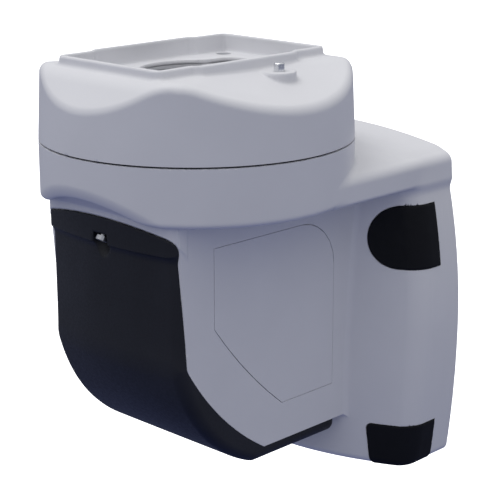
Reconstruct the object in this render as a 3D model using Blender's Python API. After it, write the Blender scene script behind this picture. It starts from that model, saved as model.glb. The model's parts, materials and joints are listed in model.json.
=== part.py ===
"""Resin wash station held by its back block, as separate parts. Blender 4.5, metres, +Z up.

The design's datum is the drum's axis at the parting line between lid and housing.
Everything is modelled there, X to the machine's right, Y to its back, and parented to
one empty that puts the wall plane at Y = 0 and the middle of the back block at Z = 0.
"""
import math

import bmesh
import bpy
from mathutils import Matrix, Vector

MM = 0.001
ROUND = 64                # facets round the drum
WELD = 0.02 * MM          # merges the slivers that a Boolean leaves

# ---- clearances -------------------------------------------------------------------
GAP = 0.4 * MM            # between pieces that rest on or fit in each other
RUN_GAP = 0.3 * MM        # round a turning shaft or a sliding pin

# ---- drum and lid -----------------------------------------------------------------
DRUM_R = 118 * MM
DRUM_H = 43 * MM          # from the parting line down to the drum's flat underside
DRUM_WALL = 5 * MM
DRUM_FLOOR = 4 * MM
PARTING_GAP = 0.6 * MM
LID_TOP_R = 115.2 * MM    # the lid's wall leans in to this radius at the shelf
LID_WALL = 3.5 * MM
SHELF_Z = 57 * MM         # flat band of the lid round the frame
SHELF_BAND_X = 4 * MM     # its width beside the frame
SHELF_BAND_Y = 10 * MM    # its width in front of and behind the frame
SIDE_FALL = 0.36          # slope of the shelf towards the sides
END_FALL = 1.05           # slope of the facets in front and behind
FRAME_HALF_X = 53.5 * MM  # at the corners
FRAME_BULGE = 4 * MM      # its long sides stand this much further out between the corners
FRAME_BULGE_Y = 52 * MM   # half length of that stretch
FRAME_HALF_Y = 84.2 * MM
FRAME_Y = -2.7 * MM
FRAME_TOP_Z = 63.4 * MM
FRAME_WALL = 3.2 * MM
FRAME_CORNER_R = 9 * MM
RECESS_FLOOR_Z = 49.8 * MM
RECESS_FLOOR_T = 3 * MM
OPENING_R = 43 * MM       # round middle of the opening, on the drum's axis
SLOT_HALF_X = 25 * MM     # the opening's two lobes, in front of and behind the round
SLOT_HALF_Y = 64.5 * MM
SLOT_CORNER_R = 14 * MM
FRAME_SCREW_X = 38.8 * MM
FRAME_SCREW_Y = 69.5 * MM
FRAME_SCREW_HEAD_R = 5.2 * MM

# ---- narrow body and front cover --------------------------------------------------
BODY_HALF_X = 70 * MM
BODY_WALL = 3.5 * MM
BODY_FRONT_Y = -87 * MM   # white front wall behind the cover
FOLD_Z = -150 * MM        # where the front turns into the keel
FOLD_Y = -79 * MM
KEEL_Z = -231 * MM
KEEL_Y = 0.0              # where the keel's curve meets its flat
KEEL_SAG = 6.7 * MM
COVER_FRONT_Y = -97.5 * MM
COVER_STEP = 2.6 * MM     # the band above the ledge stands this much proud
LEDGE_DROP = 16.5 * MM     # from the cover's upper edge down to its ledge
COVER_FOLD_Y = -94 * MM
COVER_KEEL_T = 8 * MM     # thickness under the keel
COVER_KEEL_SAG = 12 * MM
COVER_REAR_Y = 80 * MM
COVER_PLAN_R = 300 * MM
COVER_EDGE_R = 10 * MM
COVER_WALL = 3 * MM
COVER_EDGE_T = 1 * MM     # what is left of the cover at its side edges
CHIN_LIP = 24 * MM        # the chin's front edge is this far below the parting line
CHIN_WALL = 3.2 * MM      # left between the chin and the bevel inside the drum

# ---- back block and neck ----------------------------------------------------------
WALL_Y = 168 * MM         # drum axis to the wall
BLOCK_TOP_Z = -12 * MM
BLOCK_BOTTOM_Z = -272 * MM
BLOCK_HALF_X = 124 * MM   # at its widest level
BLOCK_WIDEST_Z = -160 * MM
BULGE_R_UP = 470 * MM
BULGE_R_DOWN = 830 * MM
BLOCK_FRONT_Y = 82 * MM
BLOCK_FRONT_Z = -205 * MM # level where the front face stands furthest forward
BLOCK_FACE_R = 207 * MM
BLOCK_LEAN_R = 1000 * MM
BLOCK_CORNER_R = 20 * MM
BLOCK_WALL = 4 * MM
BLOCK_FOOT_R = 11 * MM    # rounding of the lower edge
NECK_HALF_X = 112 * MM
NECK_BOTTOM_Z = -44.5 * MM
NECK_CROWN = 12 * MM      # the top falls this much from its middle to its edge

# ---- pads, side covers, back ------------------------------------------------------
PAD_PROUD = 0.8 * MM
PAD_T = 2.4 * MM
PAD_BED = 0.6 * MM        # glue gap behind a pad
PAD_REAR_Y = 146 * MM
PAD_UPPER_Z = -83 * MM
PAD_UPPER_HALF_H = 25 * MM
PAD_UPPER_X = 105 * MM    # centre of the round inner end
PAD_CORE_REAR_Y = WALL_Y + 20 * MM
PAD_LOWER_TOP_Z = -236 * MM
PAD_LOWER_X = 86 * MM
SIDE_COVER_T = 1.5 * MM
SIDE_TOP_Z = -64.7 * MM
SIDE_BOTTOM_Z = -201 * MM
SIDE_FRONT_Y = -52 * MM
SIDE_REAR_Y = 77.7 * MM
SIDE_CORNER_R = 38 * MM
SIDE_CUT_Y = 19.5 * MM    # the slanted lower edge runs from here on the bottom line
SIDE_CUT_Z = -125.3 * MM  # up to here on the front line
SIDE_CUT_SAG = 3.2 * MM
BACK_COVER_T = 4 * MM
POST_INSET = 30 * MM       # back cover's posts from the block's widest
BRACKET_T = 3 * MM
BRACKET_CLEAR = 19 * MM    # bracket's side edge to the back cover's screws
BRACKET_HALF_Z = 90 * MM
KEYHOLE_INSET = 25 * MM    # from the bracket's side edge
KEYHOLE_Z = 65 * MM
KEYHOLE_R = 5.5 * MM
KEYHOLE_SLOT_R = 2.75 * MM
KEYHOLE_SLOT = 9 * MM

# ---- tank, basket, drive ----------------------------------------------------------
TANK_WALL = 2 * MM
TANK_RIM_Z = -4 * MM
WELL_R = 50 * MM
WELL_LIP = 5 * MM         # the well hangs on the tank's floor by this lip
WELL_BOTTOM_Z = -178 * MM
BASKET_R = 38 * MM
BASKET_WALL = 1.6 * MM
BASKET_RIM_Z = -36 * MM
GUARD_T = 1.7 * MM
GUARD_HEIGHT = 13 * MM    # guard's underside above the tank floor
GUARD_LEG_R = 2 * MM
IMPELLER_GAP = 7.5 * MM    # between the impeller and the guard's legs
AXLE_R = 2 * MM
SHAFT_R = 2 * MM
ROTOR_R = 24 * MM
ROTOR_T = 5 * MM
MOTOR_R = 18 * MM
MOTOR_H = 19 * MM
MOTOR_BRACKET_T = 2 * MM
MOTOR_BRACKET_HALF_Y = 20 * MM

# ---- hinge and button -------------------------------------------------------------
HINGE_OFFSET = 6 * MM     # axis behind the drum's wall
HINGE_Z = 2 * MM
KNUCKLE_R = 4.5 * MM
PIN_R = 2 * MM
KNUCKLE_HALF = 15 * MM
POST_W = 12 * MM
BUTTON_X = 72 * MM
BUTTON_Y = 12.5 * MM
BUTTON_R = 4 * MM
BUTTON_PROUD = 6 * MM
BUTTON_BOSS_Z = 54.5 * MM
BUTTON_BOSS_R = 12.5 * MM
BUTTON_TRAVEL = 2 * MM
SPRING_WIRE_R = 0.45 * MM

# ---- worked out from the sizes above ----------------------------------------------
BLOCK_MID_Z = (BLOCK_TOP_Z + BLOCK_BOTTOM_Z) / 2
CHIN_DROP = DRUM_R + CHIN_LIP                          # the chin is the plane z = -CHIN_DROP - y
LEDGE_Z = -CHIN_DROP - COVER_FRONT_Y - LEDGE_DROP
POST_X = BLOCK_HALF_X - POST_INSET
BRACKET_HALF_X = POST_X - BRACKET_CLEAR
KEYHOLE_X = BRACKET_HALF_X - KEYHOLE_INSET
DRUM_BORE_R = DRUM_R - DRUM_WALL
HINGE_Y = DRUM_R + HINGE_OFFSET
TANK_R = DRUM_BORE_R - 2 * GAP
DRUM_FLOOR_Z = -DRUM_H + DRUM_FLOOR
BEVEL_DROP = CHIN_DROP - CHIN_WALL * math.sqrt(2)      # inside bevel: z = r - BEVEL_DROP
TANK_SHOULDER_Z = DRUM_FLOOR_Z + GAP
TANK_BEVEL_DROP = BEVEL_DROP - GAP * math.sqrt(2)      # the tank's bevel, a gap inside it
TANK_FLOOR_Z = WELL_BOTTOM_Z + TANK_WALL
GUARD_Z = TANK_FLOOR_Z + GUARD_HEIGHT
BASKET_FOOT_Z = GUARD_Z + GUARD_T + GAP
ROTOR_TOP_Z = WELL_BOTTOM_Z - 3 * MM
BRACKET_TOP_Z = ROTOR_TOP_Z - ROTOR_T - 3.5 * MM
MOTOR_TOP_Z = BRACKET_TOP_Z - MOTOR_BRACKET_T - GAP
MOTOR_BOTTOM_Z = MOTOR_TOP_Z - MOTOR_H
BACK_COVER_REAR_Y = WALL_Y - BRACKET_T - GAP
BACK_COVER_FRONT_Y = BACK_COVER_REAR_Y - BACK_COVER_T


# ---- scene and materials ----------------------------------------------------------
for old in list(bpy.data.objects):
    bpy.data.objects.remove(old, do_unlink=True)

datum = bpy.data.objects.new("drum_datum", None)
datum.location = (0, -WALL_Y, -BLOCK_MID_Z)
bpy.context.collection.objects.link(datum)


def material(name, color, roughness, metallic=0.0):
    mat = bpy.data.materials.new(name)
    mat.use_nodes = True
    shader = mat.node_tree.nodes["Principled BSDF"]
    shader.inputs["Base Color"].default_value = (*color, 1)
    shader.inputs["Roughness"].default_value = roughness
    shader.inputs["Metallic"].default_value = metallic
    return mat


WHITE = material("white_plastic", (0.72, 0.72, 0.75), 0.4)
DARK = material("dark_plastic", (0.022, 0.025, 0.035), 0.6)
RUBBER = material("black_rubber", (0.006, 0.007, 0.01), 0.7)
STEEL = material("stainless_steel", (0.75, 0.76, 0.78), 0.25, 1.0)
ZINC = material("zinc_plated_steel", (0.55, 0.56, 0.58), 0.4, 1.0)
TANK_PP = material("tank_plastic", (0.5, 0.52, 0.55), 0.45)
BLUE_PP = material("impeller_plastic", (0.08, 0.2, 0.4), 0.45)
BOARD = material("circuit_board", (0.02, 0.16, 0.08), 0.5)
BLACK = material("black_plastic", (0.02, 0.02, 0.022), 0.5)


# ---- modelling helpers ------------------------------------------------------------
def finish(name, bm, mat=None, at=(0, 0, 0), smooth=True):
    """Put a bmesh in the scene as one object of the datum's."""
    bmesh.ops.remove_doubles(bm, verts=bm.verts, dist=1e-6)
    bmesh.ops.recalc_face_normals(bm, faces=bm.faces)
    mesh = bpy.data.meshes.new(name)
    bm.to_mesh(mesh)
    bm.free()
    obj = bpy.data.objects.new(name, mesh)
    obj.parent = datum
    obj.location = at
    bpy.context.collection.objects.link(obj)
    if mat:
        mesh.materials.append(mat)
    if smooth:
        mesh.shade_smooth()
        mesh.set_sharp_from_angle(angle=math.radians(35))
    return obj


def loft(rings, closed=True):
    """Skin rings of equal length; both ends are capped, or the last meets the first."""
    bm = bmesh.new()
    rows = [[bm.verts.new(p) for p in ring] for ring in rings]
    pairs = list(zip(rows, rows[1:])) if closed else list(zip(rows, rows[1:] + rows[:1]))
    for low, high in pairs:
        for i in range(len(low)):
            j = (i + 1) % len(low)
            bm.faces.new((low[i], low[j], high[j], high[i]))
    if closed:
        bm.faces.new(rows[0][::-1])
        bm.faces.new(rows[-1])
    return bm


def prism(outline, low, high, axis="Z"):
    """Extrude an outline along an axis; its two coordinates are the other axes in order."""
    place = {
        "X": lambda p, d: (d, p[0], p[1]),
        "Y": lambda p, d: (p[0], d, p[1]),
        "Z": lambda p, d: (p[0], p[1], d),
    }[axis]
    return loft([[place(p, d) for p in outline] for d in (low, high)])


def lathe(profile, segments=48, at=(0, 0)):
    """Turn a closed (radius, z) profile round Z; points at radius 0 share one vertex."""
    bm = bmesh.new()
    columns = []
    for i in range(segments):
        a = 2 * math.pi * i / segments
        columns.append([
            bm.verts.new((at[0] + r * math.cos(a), at[1] + r * math.sin(a), z))
            for r, z in profile
        ])
    for i in range(segments):
        this, following = columns[i], columns[(i + 1) % segments]
        for k in range(len(profile)):
            n = (k + 1) % len(profile)
            if profile[k][0] == 0 and profile[n][0] == 0:
                continue
            bm.faces.new((this[k], this[n], following[n], following[k]))
    bmesh.ops.remove_doubles(bm, verts=bm.verts, dist=1e-6)
    bmesh.ops.dissolve_degenerate(bm, edges=bm.edges, dist=1e-7)
    return bm


def disc_profile(radius, low, high, bore):
    return [(bore, low), (radius, low), (radius, high), (bore, high)]


def solid_profile(radius, low, high):
    return [(0, low), (radius, low), (radius, high), (0, high)]


def box(x, y, z):
    (x0, x1), (y0, y1), (z0, z1) = x, y, z
    return prism([(x0, y0), (x1, y0), (x1, y1), (x0, y1)], z0, z1)


def turned(bm, axis, centre):
    """Lay a bmesh turned round Z along another direction, with its origin at a place."""
    turn = Vector((0, 0, 1)).rotation_difference(Vector(axis)).to_matrix().to_4x4()
    bmesh.ops.transform(bm, matrix=Matrix.Translation(centre) @ turn, verts=bm.verts)
    return bm


def arc(cx, cy, radius, start, stop, steps):
    """Points of an arc, angles in degrees."""
    return [
        (cx + radius * math.cos(math.radians(start + (stop - start) * i / steps)),
         cy + radius * math.sin(math.radians(start + (stop - start) * i / steps)))
        for i in range(steps + 1)
    ]


def bulged(start, stop, sag, steps):
    """Points from start to stop on a circle that stands sag out to the right of the way."""
    (x0, y0), (x1, y1) = start, stop
    points = []
    for i in range(steps + 1):
        t = i / steps
        rise = 4 * sag * t * (1 - t)
        length = math.hypot(x1 - x0, y1 - y0)
        points.append((x0 + (x1 - x0) * t + (y1 - y0) / length * rise,
                       y0 + (y1 - y0) * t - (x1 - x0) / length * rise))
    return points


def rounded_rect(half_x, half_y, radius, cx=0.0, cy=0.0, steps=4):
    corners = ((1, 1, 0), (-1, 1, 90), (-1, -1, 180), (1, -1, 270))
    return [
        point
        for sx, sy, a in corners
        for point in arc(cx + sx * (half_x - radius), cy + sy * (half_y - radius), radius,
                         a, a + 90, steps)
    ]


def cutter(name, bm, at=(0, 0, 0)):
    obj = finish("cut_" + name, bm, at=at, smooth=False)
    obj.hide_render = True
    obj.display_type = "WIRE"
    return obj


def combine(obj, operation, *others):
    """One Boolean step with any number of other solids, kept together in a collection."""
    group = bpy.data.collections.new("%s_%s" % (obj.name, operation.lower()))
    bpy.context.scene.collection.children.link(group)
    for other in others:
        bpy.context.collection.objects.unlink(other)
        group.objects.link(other)
        other.hide_render = True
        other.display_type = "WIRE"
    mod = obj.modifiers.new(operation.lower(), "BOOLEAN")
    mod.operation = operation
    mod.solver = "EXACT"
    mod.operand_type = "COLLECTION"
    mod.collection = group
    weld = obj.modifiers.new("weld", "WELD")
    weld.merge_threshold = WELD


additions = {}
cuts = {}


def add_to(obj, *others):
    """Note solids to join to an object once all its other pieces are known."""
    additions.setdefault(obj, []).extend(others)


def cut_from(obj, *others):
    """Note solids to cut from an object after everything has been joined to it."""
    cuts.setdefault(obj, []).extend(others)


def screw(name, place, axis, head_r=3.0 * MM, head_h=1.8 * MM, shank_r=1.3 * MM,
          length=6 * MM, sides=8, socket=False):
    """Screw whose head sits on `place` and whose shank goes along -axis."""
    profile = [(0, -length), (shank_r, -length), (shank_r, 0), (head_r, 0), (head_r, head_h)]
    if socket:
        socket_r = head_r * 0.45
        socket_z = head_h * 0.45
        profile += [(socket_r, head_h), (socket_r, socket_z), (0, socket_z)]
    else:
        profile.append((0, head_h))
    return finish(name, turned(lathe(profile, sides), axis, (0, 0, 0)), ZINC, at=place)


def screw_hole(name, place, axis, shank_r=1.3 * MM, length=6 * MM, above=0.0, head_r=0.0,
               head_depth=0.0):
    """Clearance hole for a screw at `place`, with a counterbore if it has a head radius."""
    low = -length - 1 * MM
    hole_r = shank_r + GAP
    if head_r:
        profile = [(0, low), (hole_r, low), (hole_r, -head_depth), (head_r, -head_depth),
                   (head_r, above), (0, above)]
    else:
        profile = [(0, low), (hole_r, low), (hole_r, above), (0, above)]
    return cutter(name, turned(lathe(profile, 10), axis, (0, 0, 0)), at=place)


# ---- back block outline -----------------------------------------------------------
def block_half_width(z):
    bulge_r = BULGE_R_UP if z > BLOCK_WIDEST_Z else BULGE_R_DOWN
    return BLOCK_HALF_X - (z - BLOCK_WIDEST_Z) ** 2 / (2 * bulge_r)


def block_face_y(x, z):
    """The back block's front face, bowed in plan and leaning back above and below."""
    lean = (z - BLOCK_FRONT_Z) ** 2 / (2 * BLOCK_LEAN_R)
    return BLOCK_FRONT_Y + lean + x * x / (2 * BLOCK_FACE_R)


def block_ring(z, grow, rear_y, corner_steps=4, face_steps=8):
    """One level of the back block, `grow` outside its surface, open side at rear_y."""
    half = block_half_width(z) + grow
    face_r = BLOCK_FACE_R
    corner_r = max(BLOCK_CORNER_R + grow, 2 * MM)
    front_y = block_face_y(0, z) - grow
    x_t = half - corner_r
    for _ in range(20):
        lean = math.atan(x_t / face_r)
        x_t = half - corner_r * (1 - math.sin(lean))
    y_t = front_y + x_t ** 2 / (2 * face_r)
    cx = x_t - corner_r * math.sin(lean)
    cy = y_t + corner_r * math.cos(lean)
    right = arc(cx, cy, corner_r, -90 + math.degrees(lean), 0, corner_steps)
    face_x = [x_t * (2 * i / face_steps - 1) for i in range(1, face_steps)]
    face = [(x, front_y + x * x / (2 * face_r)) for x in face_x]
    left = [(-x, y) for x, y in reversed(right)]
    return [(-half, rear_y)] + left + face + right + [(half, rear_y)]


def block_solid(grow, rear_y, top_z=NECK_BOTTOM_Z + 4 * MM):
    foot_z = BLOCK_BOTTOM_Z - grow
    foot_r = BLOCK_FOOT_R + grow
    levels = [(top_z, 0.0)]
    levels += [(top_z + (foot_z + foot_r - top_z) * i / 8, 0.0) for i in range(1, 9)]
    for a in (30, 60, 90):
        turn = math.radians(a)
        levels.append((foot_z + foot_r * (1 - math.sin(turn)), foot_r * (1 - math.cos(turn))))
    rings = []
    for z, inset in levels:
        ring = block_ring(z, grow - inset, rear_y)
        rings.append([(x, y, z) for x, y in ring])
    return loft(rings)


# ---- housing ----------------------------------------------------------------------
def keel_line(steps=8):
    """Side profile of the white body, from the chin down the front and along the keel."""
    chin_y = BODY_FRONT_Y
    return (
        [(chin_y, -CHIN_DROP - chin_y)]
        + bulged((FOLD_Y, FOLD_Z), (KEEL_Y, KEEL_Z), KEEL_SAG, steps)
    )


def shrunk_line(points, inset):
    """Move an open line to its left by `inset`, each point along its mean normal."""
    moved = []
    for i, (x, y) in enumerate(points):
        x0, y0 = points[max(i - 1, 0)]
        x1, y1 = points[min(i + 1, len(points) - 1)]
        length = math.hypot(x1 - x0, y1 - y0)
        moved.append((x - (y1 - y0) / length * inset, y + (x1 - x0) / length * inset))
    return moved


def body_outline(inset, top_z, rear_y):
    line = shrunk_line(keel_line(), inset)
    line[-1] = (line[-1][0], KEEL_Z + inset)
    front_y = line[0][0]
    return [(front_y, top_z)] + line + [(rear_y, KEEL_Z + inset), (rear_y, top_z)]


def neck_outline(inset, bottom_z):
    half = NECK_HALF_X - inset
    top = []
    for i in range(9):
        x = half * (1 - i / 4)
        top.append((x, BLOCK_TOP_Z - inset - NECK_CROWN * (x / NECK_HALF_X) ** 2))
    edge = 4 * MM
    right = (half, top[0][1] - edge)
    left = (-half, top[0][1] - edge)
    top[0] = (half - edge, top[0][1] + 1.2 * MM)
    top[-1] = (-top[0][0], top[0][1])
    return [right] + top + [left, (-half, bottom_z), (half, bottom_z)]


housing = finish("housing", lathe(
    [(0, -DRUM_H), (DRUM_R - 3 * MM, -DRUM_H), (DRUM_R - 1 * MM, -DRUM_H + 1 * MM),
     (DRUM_R, -DRUM_H + 4 * MM), (DRUM_R, 0), (0, 0)], ROUND), WHITE)

chin_near_y = BODY_FRONT_Y - 13 * MM
chin_far_y = -DRUM_R - 60 * MM
combine(housing, "DIFFERENCE", cutter("chin", prism(
    [(chin_near_y, -CHIN_DROP - chin_near_y), (chin_far_y, -CHIN_DROP - chin_far_y),
     (chin_far_y, -2 * DRUM_H), (chin_near_y, -2 * DRUM_H)], -DRUM_R, DRUM_R, "X")))

# the body's wedge under the drum closes the chin down to the cover's upper edge
wedge_top_z = -DRUM_H + 2 * MM
wedge_foot_z = -CHIN_DROP - BODY_FRONT_Y
wedge_back_y = BODY_FRONT_Y + 1 * MM
wedge = [(wedge_back_y, wedge_top_z), (-CHIN_DROP - wedge_top_z, wedge_top_z),
         (BODY_FRONT_Y, wedge_foot_z), (wedge_back_y, wedge_foot_z)]
body_top_z = -DRUM_H + 1 * MM
block_seat_y = BLOCK_FRONT_Y + 26 * MM
combine(
    housing, "UNION",
    cutter("body", prism(body_outline(0, body_top_z, block_seat_y),
                         -BODY_HALF_X, BODY_HALF_X, "X")),
    cutter("wedge", prism(wedge, -BODY_HALF_X, BODY_HALF_X, "X")),
    cutter("neck", prism(neck_outline(0, NECK_BOTTOM_Z), 30 * MM, WALL_Y - GAP, "Y")),
    cutter("block", block_solid(0, WALL_Y - GAP)),
)

# hollow inside
neck_floor_z = NECK_BOTTOM_Z + BLOCK_WALL
hollow_front = body_outline(BODY_WALL, DRUM_FLOOR_Z + 1 * MM, block_seat_y + 10 * MM)
combine(
    housing, "DIFFERENCE",
    cutter("drum_bore", lathe(
        [(0, DRUM_FLOOR_Z), (DRUM_FLOOR_Z + BEVEL_DROP, DRUM_FLOOR_Z),
         (DRUM_BORE_R, DRUM_BORE_R - BEVEL_DROP), (DRUM_BORE_R, 20 * MM), (0, 20 * MM)], ROUND)),
    cutter("body_bore", prism(hollow_front, -BODY_HALF_X + BODY_WALL,
                              BODY_HALF_X - BODY_WALL, "X")),
    cutter("block_bore", block_solid(-BLOCK_WALL, WALL_Y + 10 * MM, neck_floor_z + 2 * MM)),
    cutter("neck_bore", prism(neck_outline(BLOCK_WALL, neck_floor_z), DRUM_R + 3 * MM,
                              WALL_Y + 10 * MM, "Y")),
)

# seal groove in the rim
SEAL_IN = DRUM_BORE_R + 1.4 * MM
SEAL_OUT = SEAL_IN + 2.0 * MM
SEAL_DEPTH = 1.6 * MM
cut_from(housing, cutter("seal_groove", lathe(
    disc_profile(SEAL_OUT, -SEAL_DEPTH, 1 * MM, SEAL_IN), ROUND)))
SEAL_GAP = 0.3 * MM
finish("lid_seal", lathe(disc_profile(SEAL_OUT - SEAL_GAP, -SEAL_DEPTH + SEAL_GAP,
                                      PARTING_GAP / 2, SEAL_IN + SEAL_GAP), ROUND), RUBBER)

# hinge posts behind the drum
def pin_rod(radius, reach):
    """Round rod along the hinge axis."""
    return turned(lathe(solid_profile(radius, -reach, reach), 16), (1, 0, 0), (0, 0, 0))


post_foot_z = BLOCK_TOP_Z - 2 * MM
post_outline = [(HINGE_Y - KNUCKLE_R, post_foot_z), (HINGE_Y + KNUCKLE_R, post_foot_z)]
post_outline += arc(HINGE_Y, HINGE_Z, KNUCKLE_R, 0, 180, 8)
for side in (-1, 1):
    inner = side * (KNUCKLE_HALF + GAP)
    low, high = sorted((inner, inner + side * POST_W))
    add_to(housing, cutter("hinge_post_%d" % side, prism(post_outline, low, high, "X")))
pin_reach = KNUCKLE_HALF + GAP + POST_W - 1 * MM
cut_from(housing, cutter("pin_hole", pin_rod(PIN_R + RUN_GAP, pin_reach + 3 * MM),
                         at=(0, HINGE_Y, HINGE_Z)))
finish("hinge_pin", pin_rod(PIN_R, pin_reach), STEEL, at=(0, HINGE_Y, HINGE_Z))

# ledges that carry the motor bracket, one on each side wall
bracket_half_x = BODY_HALF_X - BODY_WALL - GAP
ledge_x = bracket_half_x - 9 * MM
ledge_top_z = BRACKET_TOP_Z - MOTOR_BRACKET_T - GAP
LEDGE_H = 12 * MM
LEDGE_HALF_Y = 8 * MM
for side in (-1, 1):
    xs = sorted((side * ledge_x, side * (BODY_HALF_X - 1 * MM)))
    add_to(housing, cutter("ledge_%d" % side, box(
        xs, (-LEDGE_HALF_Y, LEDGE_HALF_Y), (ledge_top_z - LEDGE_H, ledge_top_z))))

# posts that carry the back cover
POST_R = 4.5 * MM
post_places = [(sx * POST_X, z) for sx in (-1, 1)
               for z in (BLOCK_TOP_Z - 40 * MM, BLOCK_BOTTOM_Z + 26 * MM)]
for i, (x, z) in enumerate(post_places):
    post_l = BACK_COVER_FRONT_Y - GAP - block_face_y(x, z) - BLOCK_WALL / 2
    post = turned(lathe(solid_profile(POST_R, 0, post_l), 12), (0, -1, 0), (0, 0, 0))
    add_to(housing, cutter("back_post_%d" % i, post, at=(x, BACK_COVER_FRONT_Y - GAP, z)))
    cut_from(housing, screw_hole("back_post_hole_%d" % i, (x, BACK_COVER_FRONT_Y, z), (0, 1, 0),
                                 length=5 * MM, above=1 * MM))


# ---- side covers ------------------------------------------------------------------
def side_outline(grow):
    """The side cover in (y, z): square in front, round at the top rear, cut off below."""
    corner = arc(SIDE_REAR_Y - SIDE_CORNER_R, SIDE_TOP_Z - SIDE_CORNER_R,
                 SIDE_CORNER_R + grow, 90, 0, 6)
    part = grow * math.tan(math.radians(22.5))      # how a corner of 45 degrees moves along
    slant = bulged((SIDE_CUT_Y - part, SIDE_BOTTOM_Z - grow),
                   (SIDE_FRONT_Y - grow, SIDE_CUT_Z - part), -SIDE_CUT_SAG, 5)
    return ([(SIDE_FRONT_Y - grow, SIDE_TOP_Z + grow)] + corner
            + [(SIDE_REAR_Y + grow, SIDE_BOTTOM_Z - grow)] + slant)


for side, label in ((1, "right"), (-1, "left")):
    face = side * BODY_HALF_X
    deep = sorted((face - side * (SIDE_COVER_T + GAP), face + side * 2 * MM))
    cut_from(housing, cutter("side_recess_" + label, prism(side_outline(0), *deep, "X")))
    skin = sorted((face - side * SIDE_COVER_T, face))
    finish("side_cover_" + label, prism(side_outline(-GAP), *skin, "X"), WHITE)


# ---- rubber pads ------------------------------------------------------------------
def pad_outline(kind, grow):
    far = BLOCK_HALF_X + 20 * MM
    if kind == "upper":
        r = PAD_UPPER_HALF_H + grow
        inner_end = arc(PAD_UPPER_X, PAD_UPPER_Z, r, 90, 270, 10)
        return inner_end + [(far, PAD_UPPER_Z - r), (far, PAD_UPPER_Z + r)]
    top = PAD_LOWER_TOP_Z + grow
    bottom = BLOCK_BOTTOM_Z - 20 * MM
    r = 5 * MM
    return (arc(PAD_LOWER_X - grow + r, top - r, r, 90, 180, 4)
            + [(PAD_LOWER_X - grow + 3 * MM, bottom), (far, bottom), (far, top)])


for kind in ("upper", "lower"):
    for side, label in ((1, "right"), (-1, "left")):
        name = "pad_%s_%s" % (kind, label)
        low_y = BLOCK_FRONT_Y - 10 * MM

        def mirrored(outline):
            return [(side * x, z) for x, z in outline]

        pocket = cutter(name + "_pocket", prism(
            mirrored(pad_outline(kind, 0)), low_y, PAD_REAR_Y, "Y"))
        combine(pocket, "DIFFERENCE", cutter(name + "_core", block_solid(
            PAD_PROUD - PAD_T - PAD_BED, PAD_CORE_REAR_Y)))
        cut_from(housing, pocket)
        pad = finish(name, block_solid(PAD_PROUD, WALL_Y + 10 * MM), RUBBER)
        combine(pad, "INTERSECT", cutter(name + "_shape", prism(
            mirrored(pad_outline(kind, -GAP)), low_y, PAD_REAR_Y - GAP, "Y")))
        combine(pad, "DIFFERENCE", cutter(name + "_back", block_solid(
            PAD_PROUD - PAD_T, PAD_CORE_REAR_Y)))


# ---- front cover ------------------------------------------------------------------
def cover_section(x, skin=0.0, inner_shift=GAP, top_trim=0.0):
    """Outer and inner (y, z) lines of the cover at x; `skin` insets the outer one."""
    reach = abs(x)
    flat = BODY_HALF_X - COVER_EDGE_R
    roll = 1.0 if reach <= flat else math.sqrt(max(0.0, 1 - ((reach - flat) / COVER_EDGE_R) ** 2))
    plan = x * x / (2 * COVER_PLAN_R)
    chin = -CHIN_DROP - top_trim
    inner = shrunk_line(keel_line(), -inner_shift)
    inner[0] = (BODY_FRONT_Y - inner_shift, chin - BODY_FRONT_Y + inner_shift)
    inner.append((COVER_REAR_Y, KEEL_Z - inner_shift))
    front_y = COVER_FRONT_Y + plan
    full = [(front_y, None), (front_y, LEDGE_Z), (front_y + COVER_STEP, LEDGE_Z - 4 * MM)]
    full += bulged((COVER_FOLD_Y + plan, FOLD_Z), (KEEL_Y - 9 * MM, KEEL_Z - COVER_KEEL_T),
                   COVER_KEEL_SAG - plan * 0.5, 8)
    full.append((COVER_REAR_Y, KEEL_Z - COVER_KEEL_T))
    edge_y = inner[0][0] - COVER_EDGE_T
    slim = [(edge_y, None), (edge_y, LEDGE_Z), (edge_y + 0.2 * MM, LEDGE_Z - 4 * MM)]
    thin = COVER_EDGE_T * math.sqrt(0.5)
    slim += [(y - thin, z - thin) for y, z in inner[1:-1]]
    slim.append((COVER_REAR_Y, KEEL_Z - inner_shift - COVER_EDGE_T))
    outer = []
    for (fy, fz), (sy, sz) in zip(full, slim):
        y = sy + (fy - sy) * roll
        z = chin - y if fz is None else sz + (fz - sz) * roll
        outer.append((y, z))
    if skin:
        outer = shrunk_line(outer, skin)
    return outer, inner


edge_angles = (90, 60, 35, 15)
cover_x = [BODY_HALF_X - COVER_EDGE_R * (1 - math.sin(math.radians(a))) for a in edge_angles]
cover_x += [BODY_HALF_X * f for f in (0.7, 0.45, 0.22, 0)]
cover_x += [-x for x in reversed(cover_x[:-1])]
front_cover_rings = []
for x in cover_x:
    outer, inner = cover_section(x, top_trim=GAP * 1.5)
    front_cover_rings.append([(x, y, z) for y, z in outer + inner[::-1]])
front_cover = finish("front_cover", loft(front_cover_rings), DARK)

HOLLOW_TOP_Z = LEDGE_Z - 22 * MM
hollow_half = BODY_HALF_X - COVER_EDGE_R - 2 * MM


def at_level(low, high, z):
    """The point at height z on the line through two points of a (y, z) section."""
    return (low[0] + (high[0] - low[0]) * (z - low[1]) / (high[1] - low[1]), z)


def hollow_section(x):
    """Section of the space behind the cover's wall, open to the body."""
    outer, inner = cover_section(x, skin=COVER_WALL, inner_shift=-1 * MM)
    rear_y = COVER_REAR_Y - COVER_WALL
    return ([at_level(outer[3], outer[2], HOLLOW_TOP_Z)] + outer[3:-1]
            + [(rear_y, outer[-1][1]), (rear_y, inner[-1][1])]
            + inner[-2:0:-1] + [at_level(inner[1], inner[0], HOLLOW_TOP_Z)])


hollow_x = [hollow_half * i / 3 for i in range(3, -4, -1)]
cut_from(front_cover, cutter("cover_hollow", loft(
    [[(x, y, z) for y, z in hollow_section(x)] for x in hollow_x])))

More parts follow.
